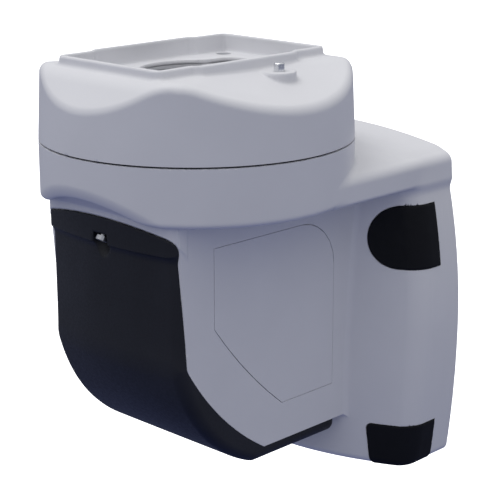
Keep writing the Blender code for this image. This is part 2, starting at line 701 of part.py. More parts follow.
# inclined bore for the cover's screw, running out of the front in a groove
BORE_LEAN = math.radians(60)
BORE_R = 6.8 * MM
BORE_SEAT_DEPTH = 3 * MM  # behind the cover's front
BORE_SEAT_Z = LEDGE_Z + 0.8 * MM
bore_axis = Vector((0, -math.cos(BORE_LEAN), -math.sin(BORE_LEAN)))
COVER_SCREW_R = 2 * MM
seat = Vector((0, COVER_FRONT_Y + BORE_SEAT_DEPTH, BORE_SEAT_Z))
cut_from(front_cover, screw_hole("cover_bore", seat, bore_axis, shank_r=COVER_SCREW_R,
                                 length=16 * MM, above=60 * MM, head_r=BORE_R))
screw("cover_screw", seat + bore_axis * GAP, bore_axis, head_r=4.4 * MM, head_h=3.2 * MM,
      shank_r=COVER_SCREW_R, length=14 * MM, sides=14, socket=True)
add_to(housing, cutter("cover_boss", turned(
    lathe(solid_profile(5.5 * MM, -17 * MM, -12 * MM), 14), bore_axis, (0, 0, 0)), at=seat))
cut_from(housing, screw_hole("cover_boss_hole", seat, bore_axis, shank_r=COVER_SCREW_R,
                             length=15.5 * MM, above=1 * MM))

# two keel screws from below
keel_screw_y = COVER_REAR_Y - 14 * MM
for side, label in ((1, "right"), (-1, "left")):
    place = (side * 45 * MM, keel_screw_y, KEEL_Z - COVER_KEEL_T + 3 * MM)
    cut_from(front_cover, screw_hole("keel_bore_" + label, place, (0, 0, -1), length=14 * MM,
                                     above=6 * MM, head_r=3.5 * MM))
    cut_from(housing, screw_hole("keel_hole_" + label, place, (0, 0, -1), length=14 * MM,
                                 above=1 * MM))
    screw("keel_screw_" + label, (place[0], place[1], place[2] - GAP), (0, 0, -1), length=8.5 * MM)


# ---- lid --------------------------------------------------------------------------
def roof_solid(drop):
    """Hip roof over the lid: flat round the frame, falling to the sides and the ends."""
    top_z = SHELF_Z - drop
    foot_z = 5 * MM
    fall = top_z - foot_z

    def ring(part, z):
        hx = FRAME_HALF_X + SHELF_BAND_X + part * fall / SIDE_FALL
        hy = FRAME_HALF_Y + SHELF_BAND_Y + part * fall / END_FALL
        return [(sx * hx, FRAME_Y + sy * hy, z) for sx, sy in ((1, -1), (1, 1), (-1, 1), (-1, -1))]

    return loft([ring(1, -60 * MM), ring(1, foot_z), ring(0, top_z)])


def drum_cone(inset, low, high):
    lean = (DRUM_R - LID_TOP_R) / SHELF_Z
    base_r = DRUM_R - inset
    return lathe([(0, low), (base_r - lean * low, low), (base_r - lean * high, high), (0, high)],
                 ROUND)


def frame_outline(inset):
    """Round-cornered frame whose long sides stand out between the corners."""
    half_x, half_y = FRAME_HALF_X - inset, FRAME_HALF_Y - inset
    jog = [(half_x, FRAME_BULGE_Y), (half_x + FRAME_BULGE, FRAME_BULGE_Y - 1.5 * FRAME_BULGE)]
    jog += [(x, -y) for x, y in jog[::-1]]
    corners = rounded_rect(half_x, half_y, FRAME_CORNER_R - inset, cy=FRAME_Y)
    rear = len(corners) // 2
    left = [(-x, FRAME_Y + y) for x, y in jog]
    right = [(x, FRAME_Y - y) for x, y in jog]
    return corners[:rear] + left + corners[rear:] + right


def opening_outline():
    """A round on the drum's axis with a lobe in front and one behind, going round from +X."""
    meet = math.sqrt(OPENING_R ** 2 - SLOT_HALF_X ** 2)
    turn = math.degrees(math.atan2(meet, SLOT_HALF_X))
    lobes = rounded_rect(SLOT_HALF_X, SLOT_HALF_Y, SLOT_CORNER_R, cy=FRAME_Y)
    rear = len(lobes) // 2
    return (arc(0, 0, OPENING_R, -turn, turn, 12) + lobes[:rear]
            + arc(0, 0, OPENING_R, 180 - turn, 180 + turn, 12) + lobes[rear:])


def roof_z(x):
    """Top of the lid's roof beside the frame."""
    return SHELF_Z - SIDE_FALL * (x - FRAME_HALF_X - SHELF_BAND_X)


ROOF_T = 4 * MM
lid = finish("lid", drum_cone(0, PARTING_GAP, SHELF_Z + 5 * MM), WHITE, at=(0, HINGE_Y, HINGE_Z))
lid.data.transform(Matrix.Translation((0, -HINGE_Y, -HINGE_Z)))
combine(lid, "INTERSECT", cutter("roof", roof_solid(0)))
recess_low_z = RECESS_FLOOR_Z - RECESS_FLOOR_T
frame_ring = cutter("frame", prism(frame_outline(0), recess_low_z, FRAME_TOP_Z))
boss = cutter("button_boss", lathe(
    solid_profile(BUTTON_BOSS_R, BUTTON_BOSS_Z - 10 * MM, BUTTON_BOSS_Z), 24,
    at=(BUTTON_X, BUTTON_Y)))
hollow = cutter("lid_hollow", drum_cone(LID_WALL, -10 * MM, SHELF_Z))
combine(hollow, "INTERSECT", cutter("roof_inner", roof_solid(ROOF_T)))
combine(hollow, "DIFFERENCE", cutter("frame_keep", prism(
    frame_outline(0), recess_low_z, FRAME_TOP_Z + 5 * MM)))
combine(lid, "UNION", frame_ring, boss)
combine(lid, "DIFFERENCE", hollow)
cut_from(
    lid,
    cutter("recess", prism(frame_outline(FRAME_WALL), RECESS_FLOOR_Z, FRAME_TOP_Z + 5 * MM)),
    cutter("opening", prism(opening_outline(), recess_low_z - 5 * MM, RECESS_FLOOR_Z + 2 * MM)),
)
knuckle_root_y = -HINGE_OFFSET - LID_WALL + 1 * MM
knuckle = prism(
    [(knuckle_root_y, PARTING_GAP - HINGE_Z + 0.2 * MM)] + arc(0, 0, KNUCKLE_R, 215, 450, 10)
    + [(knuckle_root_y, KNUCKLE_R)], -KNUCKLE_HALF, KNUCKLE_HALF, "X")
add_to(lid, cutter("lid_knuckle", knuckle, at=(0, HINGE_Y, HINGE_Z)))
cut_from(lid, cutter("lid_pin_hole", pin_rod(PIN_R + RUN_GAP, 2 * KNUCKLE_HALF),
                     at=(0, HINGE_Y, HINGE_Z)))

# splash guard under the opening and the four screws that hold it
GUARD_H = 2.5 * MM
SINK_DEPTH = 1.2 * MM
splash_top = recess_low_z - GAP
splash = finish("splash_guard", prism(frame_outline(GAP), splash_top - GUARD_H, splash_top), WHITE)
cut_from(splash, cutter("splash_opening", prism(
    opening_outline(), splash_top - 2 * GUARD_H, splash_top + 2 * MM)))
for i, (sx, sy) in enumerate(((1, -1), (1, 1), (-1, 1), (-1, -1)), 1):
    place = (sx * FRAME_SCREW_X, FRAME_Y + sy * FRAME_SCREW_Y, RECESS_FLOOR_Z)
    cut_from(lid, screw_hole("frame_hole_%d" % i, place, (0, 0, 1), length=8 * MM, above=1 * MM,
                             head_r=FRAME_SCREW_HEAD_R + GAP, head_depth=SINK_DEPTH))
    cut_from(splash, screw_hole("splash_hole_%d" % i, place, (0, 0, 1), length=8 * MM,
                                above=1 * MM))
    screw("frame_screw_%d" % i, (place[0], place[1], place[2] - SINK_DEPTH + GAP), (0, 0, 1),
          head_r=FRAME_SCREW_HEAD_R, head_h=0.7 * MM, length=4.8 * MM, sides=16)


# ---- start button -----------------------------------------------------------------
FLANGE_T = 1.5 * MM
FLANGE_R = 6.2 * MM
STEM_R = 1.8 * MM
BUTTON_EDGE = 0.6 * MM
SWITCH_DROP = 8 * MM      # from the flange's underside down to the switch plate
relief_r = FLANGE_R + 1 * MM
roof_under_z = roof_z(BUTTON_X + relief_r) - ROOF_T
flange_top = roof_under_z - GAP
flange_foot = flange_top - FLANGE_T
switch_plate_z = flange_foot - SWITCH_DROP
stem_foot = switch_plate_z + BUTTON_TRAVEL + 1.8 * MM
button_top = BUTTON_BOSS_Z + BUTTON_PROUD
below_roof = switch_plate_z - 5 * MM
button_at = (BUTTON_X, BUTTON_Y)
cut_from(
    lid,
    cutter("button_hole", lathe(
        solid_profile(BUTTON_R + RUN_GAP, below_roof, button_top + 5 * MM), 20, at=button_at)),
    cutter("button_relief", lathe(
        solid_profile(relief_r, below_roof, roof_under_z), 20, at=button_at)),
)
finish("start_button", lathe([
    (0, stem_foot), (STEM_R, stem_foot), (STEM_R, flange_foot), (FLANGE_R, flange_foot),
    (FLANGE_R, flange_top), (BUTTON_R, flange_top), (BUTTON_R, button_top - BUTTON_EDGE),
    (BUTTON_R - BUTTON_EDGE, button_top), (0, button_top)], 20), STEEL, at=(*button_at, 0))


def helix(radius, wire, low, high, turns, steps=10, sides=6):
    """Coil spring of round wire between two heights."""
    rings = []
    count = turns * steps
    for i in range(count + 1):
        a = 2 * math.pi * i / steps
        z = low + wire + (high - low - 2 * wire) * i / count
        centre = Vector((radius * math.cos(a), radius * math.sin(a), z))
        out = Vector((math.cos(a), math.sin(a), 0))
        rings.append([centre + out * wire * math.cos(t) + Vector((0, 0, wire * math.sin(t)))
                      for t in (2 * math.pi * k / sides for k in range(sides))])
    return loft(rings)


SPRING_R = 4.6 * MM
SWITCH_HALF = 2.3 * MM
finish("button_spring", helix(SPRING_R, SPRING_WIRE_R, switch_plate_z + GAP, flange_foot - GAP, 4),
       STEEL, at=(*button_at, 0))
finish("start_switch", box((-SWITCH_HALF, SWITCH_HALF), (-SWITCH_HALF, SWITCH_HALF),
                           (switch_plate_z + GAP, stem_foot - BUTTON_TRAVEL - GAP)),
       BLACK, at=(*button_at, 0))
PLATE_T = 1.6 * MM
PLATE_HALF_X = 7 * MM
PLATE_MARGIN = 5 * MM     # plate left beyond its two screws
SWITCH_SPAN = 14 * MM
SWITCH_POST_R = 3.6 * MM
plate_half_y = SWITCH_SPAN + PLATE_MARGIN
switch_plate = finish("switch_plate", box(
    (BUTTON_X - PLATE_HALF_X, BUTTON_X + PLATE_HALF_X),
    (BUTTON_Y - plate_half_y, BUTTON_Y + plate_half_y),
    (switch_plate_z - PLATE_T, switch_plate_z)), ZINC)
for sy, label in ((-1, "front"), (1, "rear")):
    place = (BUTTON_X, BUTTON_Y + sy * SWITCH_SPAN, switch_plate_z - PLATE_T)
    add_to(lid, cutter("switch_post_" + label, lathe(
        solid_profile(SWITCH_POST_R, switch_plate_z + GAP, roof_z(BUTTON_X) - ROOF_T / 2), 12,
        at=place[:2])))
    cut_from(lid, screw_hole("switch_post_hole_" + label, place, (0, 0, -1), length=6 * MM,
                             above=1 * MM))
    cut_from(switch_plate, screw_hole("switch_plate_hole_" + label, place, (0, 0, -1), above=2 * MM))
    screw("switch_screw_" + label, (place[0], place[1], place[2] - GAP), (0, 0, -1), length=6 * MM)


# ---- tank, guard, basket ----------------------------------------------------------
bevel_r = TANK_SHOULDER_Z + TANK_BEVEL_DROP
bevel_in = TANK_WALL * 0.4      # how far the bevel moves along each way, wall inside wall
lip_z = TANK_SHOULDER_Z + TANK_WALL + GAP
finish("wash_tank", lathe([
    (WELL_R + GAP, TANK_SHOULDER_Z), (bevel_r, TANK_SHOULDER_Z), (TANK_R, TANK_R - TANK_BEVEL_DROP),
    (TANK_R, TANK_RIM_Z), (TANK_R - TANK_WALL, TANK_RIM_Z),
    (TANK_R - TANK_WALL, TANK_R - TANK_BEVEL_DROP + bevel_in),
    (bevel_r - bevel_in, TANK_SHOULDER_Z + TANK_WALL),
    (WELL_R + GAP, TANK_SHOULDER_Z + TANK_WALL)], 48), TANK_PP)
finish("tank_well", lathe([
    (0, WELL_BOTTOM_Z), (WELL_R - 3 * MM, WELL_BOTTOM_Z), (WELL_R, WELL_BOTTOM_Z + 3 * MM),
    (WELL_R, lip_z), (WELL_R + WELL_LIP, lip_z), (WELL_R + WELL_LIP, lip_z + TANK_WALL),
    (WELL_R - TANK_WALL, lip_z + TANK_WALL), (WELL_R - TANK_WALL, TANK_FLOOR_Z + 2 * MM),
    (WELL_R - 4 * MM, TANK_FLOOR_Z), (0, TANK_FLOOR_Z)], 48), TANK_PP)
finish("impeller_axle", lathe(solid_profile(AXLE_R, TANK_FLOOR_Z + GAP, GUARD_Z - 1 * MM), 14), STEEL)

def spun(bm, angle):
    """Turn a bmesh about the drum's axis, in degrees."""
    turn = Matrix.Rotation(math.radians(angle), 3, "Z")
    bmesh.ops.rotate(bm, cent=(0, 0, 0), matrix=turn, verts=bm.verts)
    return bm


GUARD_BORE_R = 9 * MM
guard_r = WELL_R - TANK_WALL - 1.5 * MM
guard = finish("impeller_guard", lathe(
    disc_profile(guard_r, GUARD_Z, GUARD_Z + GUARD_T, GUARD_BORE_R), 36), TANK_PP)
leg_ring_r = guard_r - GUARD_LEG_R - 1 * MM
IMPELLER_R = leg_ring_r - GUARD_LEG_R - IMPELLER_GAP
for i in range(3):
    leg = lathe(solid_profile(GUARD_LEG_R, TANK_FLOOR_Z + GAP, GUARD_Z + GUARD_T / 2), 8,
                at=(leg_ring_r, 0))
    add_to(guard, cutter("guard_leg_%d" % i, spun(leg, 90 + 120 * i)))
guard_slot = [(14 * MM, -5 * MM), (32 * MM, -8 * MM), (32 * MM, 8 * MM), (14 * MM, 5 * MM)]
for i in range(6):
    slot = prism(guard_slot, GUARD_Z - 2 * MM, GUARD_Z + 5 * MM)
    cut_from(guard, cutter("guard_slot_%d" % i, spun(slot, 60 * i + 30)))

basket = finish("basket", lathe([
    (0, BASKET_FOOT_Z), (BASKET_R - 2 * MM, BASKET_FOOT_Z), (BASKET_R, BASKET_FOOT_Z + 2 * MM),
    (BASKET_R, BASKET_RIM_Z), (BASKET_R - BASKET_WALL, BASKET_RIM_Z),
    (BASKET_R - BASKET_WALL, BASKET_FOOT_Z + 2.6 * MM), (BASKET_R - 2.6 * MM, BASKET_FOOT_Z + BASKET_WALL),
    (0, BASKET_FOOT_Z + BASKET_WALL)], 36), STEEL)
BASKET_SLOT_HALF = 3.5 * MM
slot_reach = BASKET_R + 5 * MM
slot_span = (BASKET_FOOT_Z + 12 * MM, BASKET_RIM_Z - 14 * MM)
for i in range(6):
    slot = box((-slot_reach, slot_reach), (-BASKET_SLOT_HALF, BASKET_SLOT_HALF), slot_span)
    cut_from(basket, cutter("basket_slot_%d" % i, spun(slot, 30 * i + 15)))

HANDLE_DROP = 5 * MM      # pivot below the basket's rim
WIRE_R = 1.3 * MM
handle_r = BASKET_R - BASKET_WALL - WIRE_R - 1 * MM
handle_z = BASKET_RIM_Z - HANDLE_DROP
cut_from(basket, cutter("handle_holes", turned(
    lathe(solid_profile(WIRE_R + RUN_GAP, -2 * BASKET_R, 2 * BASKET_R), 14),
    (1, 0, 0), (0, 0, 0)), at=(0, 0, handle_z)))


def wire(points, radius, sides=8):
    """Round wire through points that lie in the XY plane."""
    rings = []
    for i, p in enumerate(points):
        before = Vector(points[max(i - 1, 0)])
        after = Vector(points[min(i + 1, len(points) - 1)])
        along = (after - before).normalized()
        across = Vector((-along.y, along.x, 0))
        rings.append([
            Vector(p) + across * radius * math.cos(2 * math.pi * k / sides)
            + Vector((0, 0, radius * math.sin(2 * math.pi * k / sides)))
            for k in range(sides)
        ])
    return loft(rings)


bow = [(handle_r * math.cos(math.radians(a)), handle_r * math.sin(math.radians(a)), 0)
       for a in range(-15, -166, -15)]
bow_end = [(BASKET_R - 0.2 * MM, 0, 0), (handle_r + 0.8 * MM, 0, 0)]
bow = bow_end + bow + [(-x, y, z) for x, y, z in reversed(bow_end)]
finish("basket_handle", wire(bow, WIRE_R), STEEL, at=(0, 0, handle_z))


# ---- impeller and drive -----------------------------------------------------------
IMPELLER_H = 8.5 * MM
HUB_R = 8 * MM
BLADE_HALF_T = 1 * MM
impeller_z = TANK_FLOOR_Z + 1.5 * MM
impeller_top = impeller_z + IMPELLER_H
impeller = finish("impeller", lathe(
    solid_profile(IMPELLER_R, impeller_z, impeller_z + 2 * MM), 32), BLUE_PP)
add_to(impeller, cutter("impeller_hub", lathe(
    solid_profile(HUB_R, impeller_z + 0.5 * MM, impeller_top), 20)))
cut_from(impeller, cutter("impeller_bore", lathe(
    solid_profile(AXLE_R + RUN_GAP, impeller_z - 5 * MM, impeller_top + 5 * MM), 14)))
for i in range(6):
    blade = box((HUB_R - 1 * MM, IMPELLER_R - 1 * MM), (-BLADE_HALF_T, BLADE_HALF_T),
                (impeller_z + 1 * MM, impeller_top - 1 * MM))
    add_to(impeller, cutter("impeller_blade_%d" % i, spun(blade, 60 * i)))

rotor_low = ROTOR_TOP_Z - ROTOR_T
shaft_bore_r = SHAFT_R + RUN_GAP
finish("magnet_rotor", lathe(
    disc_profile(ROTOR_R, rotor_low, ROTOR_TOP_Z, shaft_bore_r), 28), ZINC)
shaft_low = MOTOR_TOP_Z - 8 * MM
finish("motor_shaft", lathe(solid_profile(SHAFT_R, shaft_low, ROTOR_TOP_Z - 0.5 * MM), 14), STEEL)
motor = finish("motor", lathe([
    (0, MOTOR_BOTTOM_Z), (MOTOR_R, MOTOR_BOTTOM_Z), (MOTOR_R, MOTOR_TOP_Z),
    (shaft_bore_r, MOTOR_TOP_Z), (shaft_bore_r, shaft_low - GAP), (0, shaft_low - GAP)], 28), BLACK)
motor_bracket = finish("motor_bracket", box(
    (-bracket_half_x, bracket_half_x), (-MOTOR_BRACKET_HALF_Y, MOTOR_BRACKET_HALF_Y),
    (BRACKET_TOP_Z - MOTOR_BRACKET_T, BRACKET_TOP_Z)), ZINC)
cut_from(motor_bracket, cutter("shaft_hole", lathe(
    solid_profile(SHAFT_R + 2 * MM, BRACKET_TOP_Z - 8 * MM, BRACKET_TOP_Z + 4 * MM), 16)))
for side, label in ((1, "right"), (-1, "left")):
    for kind, reach, target in (("motor_screw_", MOTOR_R - 6 * MM, motor),
                                ("motor_bracket_screw_", (ledge_x + bracket_half_x) / 2, housing)):
        place = (side * reach, 0, BRACKET_TOP_Z)
        cut_from(motor_bracket, screw_hole(kind + "hole_" + label, place, (0, 0, 1), above=2 * MM))
        cut_from(target, screw_hole(kind + "blind_" + label, place, (0, 0, 1), length=7 * MM,
                                    above=1 * MM))
        screw(kind + label, (place[0], place[1], place[2] + GAP), (0, 0, 1), length=7 * MM)


# ---- back cover, bracket, board, inlet --------------------------------------------
def back_outline(inset):
    """The back cover in (x, z): the block's own opening, less the inset."""
    steps = 9
    low_z = BLOCK_BOTTOM_Z + BLOCK_WALL + inset + 4 * MM
    high_z = BLOCK_TOP_Z - NECK_CROWN - BLOCK_WALL - inset - 7 * MM
    right = []
    for i in range(steps + 1):
        z = low_z + (high_z - low_z) * i / steps
        limit = NECK_HALF_X if z > NECK_BOTTOM_Z - 4 * MM else BLOCK_HALF_X
        right.append((min(block_half_width(z), limit) - BLOCK_WALL - inset, z))
    return right + [(-x, z) for x, z in reversed(right)]


back_cover = finish("back_cover", prism(
    back_outline(1.2 * MM), BACK_COVER_FRONT_Y, BACK_COVER_REAR_Y, "Y"), WHITE)
for i, (x, z) in enumerate(post_places, 1):
    place = (x, BACK_COVER_REAR_Y, z)
    cut_from(back_cover, screw_hole("back_cover_hole_%d" % i, place, (0, 1, 0), above=2 * MM))
    screw("back_cover_screw_%d" % i, (x, BACK_COVER_REAR_Y + GAP, z), (0, 1, 0), length=8 * MM)

def keyhole_outline(x, z):
    """A round hole at (x, z) with a narrower slot going up from it."""
    reach = math.sqrt(KEYHOLE_R ** 2 - KEYHOLE_SLOT_R ** 2)
    lead = math.degrees(math.atan2(reach, KEYHOLE_SLOT_R))
    return (arc(x, z + KEYHOLE_SLOT, KEYHOLE_SLOT_R, 0, 180, 6)
            + arc(x, z, KEYHOLE_R, 180 - lead, 360 + lead, 12))


BRACKET_SINK = 1.2 * MM
BRACKET_SCREW_INSET = 9 * MM
bracket = finish("wall_bracket", prism(
    rounded_rect(BRACKET_HALF_X, BRACKET_HALF_Z, 8 * MM, cy=BLOCK_MID_Z, steps=3),
    WALL_Y - BRACKET_T, WALL_Y, "Y"), ZINC, smooth=False)
for i, (sx, sz) in enumerate(((1, 1), (1, -1), (-1, 1), (-1, -1)), 1):
    x, z = sx * KEYHOLE_X, BLOCK_MID_Z + sz * KEYHOLE_Z
    cut_from(bracket, cutter("keyhole_%d" % i, prism(
        keyhole_outline(x, z), WALL_Y - 5 * MM, WALL_Y + 2 * MM, "Y")))
    pocket_half = KEYHOLE_R + 1 * MM
    pocket = rounded_rect(pocket_half, pocket_half + KEYHOLE_SLOT / 2, 3 * MM,
                          cx=x, cy=z + KEYHOLE_SLOT / 2, steps=2)
    cut_from(back_cover, cutter("keyhole_pocket_%d" % i, prism(
        pocket, BACK_COVER_FRONT_Y + 1 * MM, WALL_Y + 2 * MM, "Y")))
    place = (sx * (BRACKET_HALF_X - BRACKET_SCREW_INSET), WALL_Y - BRACKET_SINK,
             BLOCK_MID_Z + sz * (BRACKET_HALF_Z - BRACKET_SCREW_INSET))
    cut_from(bracket, screw_hole("bracket_hole_%d" % i, place, (0, 1, 0), above=4 * MM,
                                 head_r=3.4 * MM))
    cut_from(back_cover, screw_hole("bracket_blind_%d" % i, place, (0, 1, 0), length=5 * MM,
                                    above=4 * MM))
    screw("bracket_screw_%d" % i, (place[0], place[1] + RUN_GAP / 2, place[2]), (0, 1, 0),
          head_h=0.9 * MM, length=4.6 * MM)

BOARD_T = 1.6 * MM
BOARD_HALF_X = 45 * MM
BOARD_HALF_Z = 32 * MM
BOARD_Z = BLOCK_MID_Z + 10 * MM
STANDOFF = 8 * MM
BOARD_INSET = 5 * MM
STANDOFF_R = 3.5 * MM
board_rear_y = BACK_COVER_FRONT_Y - STANDOFF - GAP
board_front_y = board_rear_y - BOARD_T
board = finish("control_board", box((-BOARD_HALF_X, BOARD_HALF_X), (board_front_y, board_rear_y),
                                    (BOARD_Z - BOARD_HALF_Z, BOARD_Z + BOARD_HALF_Z)), BOARD)
# each part on the board: centre x and z, width, height, and how far it stands out
board_parts = ((-20, 5, 14, 14, 5), (15, 12, 20, 8, 9), (18, -12, 8, 12, 12))
for i, part in enumerate(board_parts, 1):
    cx, cz, half_w, half_h, stand = (v * MM for v in (*part[:2], part[2] / 2, part[3] / 2, part[4]))
    add_to(board, cutter("board_part_%d" % i, box(
        (cx - half_w, cx + half_w), (board_front_y - stand, board_rear_y - 0.5 * MM),
        (BOARD_Z + cz - half_h, BOARD_Z + cz + half_h))))
for i, (sx, sz) in enumerate(((1, 1), (1, -1), (-1, 1), (-1, -1)), 1):
    x = sx * (BOARD_HALF_X - BOARD_INSET)
    z = BOARD_Z + sz * (BOARD_HALF_Z - BOARD_INSET)
    add_to(back_cover, cutter("standoff_%d" % i, turned(
        lathe(solid_profile(STANDOFF_R, -1 * MM, STANDOFF), 12), (0, -1, 0), (0, 0, 0)),
        at=(x, BACK_COVER_FRONT_Y, z)))
    place = (x, board_front_y, z)
    for target, tag in ((back_cover, "standoff_hole_"), (board, "board_hole_")):
        cut_from(target, screw_hole(tag + str(i), place, (0, -1, 0), length=7 * MM, above=2 * MM))
    screw("board_screw_%d" % i, (x, place[1] - GAP, z), (0, -1, 0), length=7 * MM)

INLET_R = 6 * MM
INLET_X = 40 * MM
INLET_L = 13 * MM
SOCKET_R = 3.2 * MM
SOCKET_DEPTH = 10 * MM
inlet_y = WALL_Y - 28 * MM
inlet_low = BLOCK_BOTTOM_Z + 0.5 * MM
socket_top = inlet_low + SOCKET_DEPTH
cut_from(housing, cutter("inlet_hole", lathe(
    solid_profile(INLET_R + GAP, inlet_low - 9 * MM, inlet_low + 20 * MM), 20,
    at=(INLET_X, inlet_y))))
finish("power_inlet", lathe([
    (0, socket_top), (SOCKET_R, socket_top), (SOCKET_R, inlet_low), (INLET_R, inlet_low),
    (INLET_R, inlet_low + INLET_L), (0, inlet_low + INLET_L)], 20), BLACK,
    at=(INLET_X, inlet_y, 0))


# ---- join what was noted, then cut ------------------------------------------------
for obj, others in additions.items():
    combine(obj, "UNION", *others)
for obj, others in cuts.items():
    combine(obj, "DIFFERENCE", *others)
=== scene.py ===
"""Looks of the wash station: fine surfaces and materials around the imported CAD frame.

Shapes are written in millimetres about the drum's axis at the parting line, X to the
machine's right, Y to its back, Z up. The moulded pieces are implicit shapes (negative
inside), skinned by dual contouring. Every other node keeps its CAD shape.
"""

import json
import math

import bpy
import numpy as np
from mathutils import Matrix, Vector


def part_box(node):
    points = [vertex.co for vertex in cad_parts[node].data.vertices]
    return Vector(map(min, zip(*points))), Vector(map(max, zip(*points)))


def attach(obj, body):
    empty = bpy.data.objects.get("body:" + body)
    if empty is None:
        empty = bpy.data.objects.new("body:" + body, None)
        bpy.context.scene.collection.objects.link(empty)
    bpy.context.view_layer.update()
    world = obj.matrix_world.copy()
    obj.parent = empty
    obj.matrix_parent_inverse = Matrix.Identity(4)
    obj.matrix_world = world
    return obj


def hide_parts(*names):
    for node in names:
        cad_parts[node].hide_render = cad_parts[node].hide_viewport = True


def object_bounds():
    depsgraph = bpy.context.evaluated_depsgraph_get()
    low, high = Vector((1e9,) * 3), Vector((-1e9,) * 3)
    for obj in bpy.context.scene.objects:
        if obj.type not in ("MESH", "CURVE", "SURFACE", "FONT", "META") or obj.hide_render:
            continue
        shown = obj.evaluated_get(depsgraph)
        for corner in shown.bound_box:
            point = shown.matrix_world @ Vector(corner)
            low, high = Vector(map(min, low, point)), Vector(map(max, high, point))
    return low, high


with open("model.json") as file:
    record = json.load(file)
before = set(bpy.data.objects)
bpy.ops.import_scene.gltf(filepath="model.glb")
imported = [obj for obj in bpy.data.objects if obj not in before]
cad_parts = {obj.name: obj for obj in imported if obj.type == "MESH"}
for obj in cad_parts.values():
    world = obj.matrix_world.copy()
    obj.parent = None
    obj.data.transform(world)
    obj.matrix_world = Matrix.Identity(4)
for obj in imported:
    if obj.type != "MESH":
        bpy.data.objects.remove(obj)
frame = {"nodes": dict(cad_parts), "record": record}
cad_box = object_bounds()

MM = 0.001
SEAL_PROUD = 0.3          # the lid seal's top stands this far above the parting line

tank_low, tank_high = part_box("wash_tank")
DATUM = Vector(((tank_low.x + tank_high.x) / 2, (tank_low.y + tank_high.y) / 2,
                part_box("lid_seal")[1].z - SEAL_PROUD * MM))


def local_box(node):
    """A CAD node's box in millimetres about the drum's axis."""
    return tuple((corner - DATUM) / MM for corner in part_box(node))


# ---- driving sizes, mm ------------------------------------------------------------
DRUM_R = -(Vector(cad_box[0]) - DATUM).y / MM
WALL_Y = -DATUM.y / MM
FRAME_TOP = local_box("lid")[1].z
GROOVE_TOP, GROOVE_FOOT = 0.95, 0.45      # the parting groove above and below the line
GROOVE_IN = 2.5           # the groove starts this far outside the bore
DRUM_H = 43.0
DRUM_EDGE_R = 4.0
CHIN_DROP = DRUM_R + 24   # the chin is the plane z = -CHIN_DROP - y
CHIN_LOW = 3.0            # the drum's chin is this much lower than the cover's plane
CHIN_DISH = 4.6           # the chin is hollowed this deep behind its front edge
BORE_R = DRUM_R - 5
BORE_FLOOR = -DRUM_H + 4
CHIN_WALL = 4.0           # left between the chin and the bevel of the drum's bore
BORE_BEVEL = CHIN_DROP - CHIN_WALL * math.sqrt(2)
CHIN_EDGE_R, DISH_START, DISH_END = 5.0, 2, 11

SHELF_Z = 57.0
LID_TOP_R = 115.2
LID_WALL = 3.5
ROOF_T = 4.0
RIM_R = 8.0
SIDE_X, SIDE_FALL, SIDE_LIFT = 54.7, 0.338, 0.00093
END_Y, END_FALL = 91.4, 1.05
FRAME_HALF_X, FRAME_HALF_Y, FRAME_Y = 54.6, 85.6, -2.7
FRAME_BULGE, FRAME_BULGE_Y = 4.0, 49.0
FRAME_WALL = 4.0
FRAME_CORNER_R = 7.0
FRAME_DRAFT = 0.16        # the frame's outer wall leans out this much towards its foot
RECESS_Z = 49.8
RECESS_T = 3.0
OPENING_R = 43.0
SLOT_HALF_X, SLOT_HALF_Y, SLOT_R = 25.0, 64.5, 14.0
SINK_X, SINK_Y, SINK_R = 38.8, 69.5, 5.7
BUTTON_X, BUTTON_Y, BUTTON_R = 72.0, 12.5, 4.0
BOSS_Z, BOSS_R = 54.5, 12.5
SWITCH_SPAN, SWITCH_POST_R = 14.0, 3.6
SHANK_HOLE_R = 1.7
SWITCH_POST_Z = local_box("switch_plate")[1].z + 0.4
SIDE_BLEND, END_BLEND = 3, 8              # softness of the scoops' upper edges
BOSS_EDGE_R, BOSS_FILLET = 0.8, 1.6
FRAME_EDGE_R, FRAME_FILLET = 1.3, 2.0
RECESS_CORNER_R, RECESS_EDGE_R, OPENING_EDGE_R = 1.5, 1.2, 0.8
LOBE_FILLET = 8
SINK_DEPTH = 1.2
BUTTON_GAP = 0.3

BODY_X = 70.0
BODY_REACH = 26            # the body runs this far into the block
BODY_FRONT_Y, FOLD_Y, FOLD_Z = -85.5, -79.0, -150.0
KEEL_Z, KEEL_SAG = -231.0, 6.7
COVER_FRONT_Y, COVER_FOLD_Y = -97.5, -94.0
COVER_STEP, LEDGE_Z = 2.8, -65.0
COVER_KEEL_Z, COVER_KEEL_Y, COVER_KEEL_SAG = -242.0, -9.0, 14.0
COVER_REAR_Y = 82.0
COVER_PLAN_R, COVER_EDGE_R = 300.0, 8.0
BORE_LEAN, BORE_HOLE_R = math.radians(60), 8.0
BORE_AXIS = Vector((0, -math.cos(BORE_LEAN), -math.sin(BORE_LEAN)))
SEAT = Vector((0, COVER_FRONT_Y + 3.6, -59.4))
COVER_GAP, COVER_SIDE_GAP, CHIN_GAP = 0.4, 0.2, 0.7
COVER_FOLD_R, COVER_BAND_R, COVER_CHIN_R, COVER_REAR_R, BORE_MOUTH_R = 2.5, 2.5, 0.6, 5.0, 0.5
LIP_DEPTH, LIP_INSET, LIP_FILLET = 6, 2, 1.5

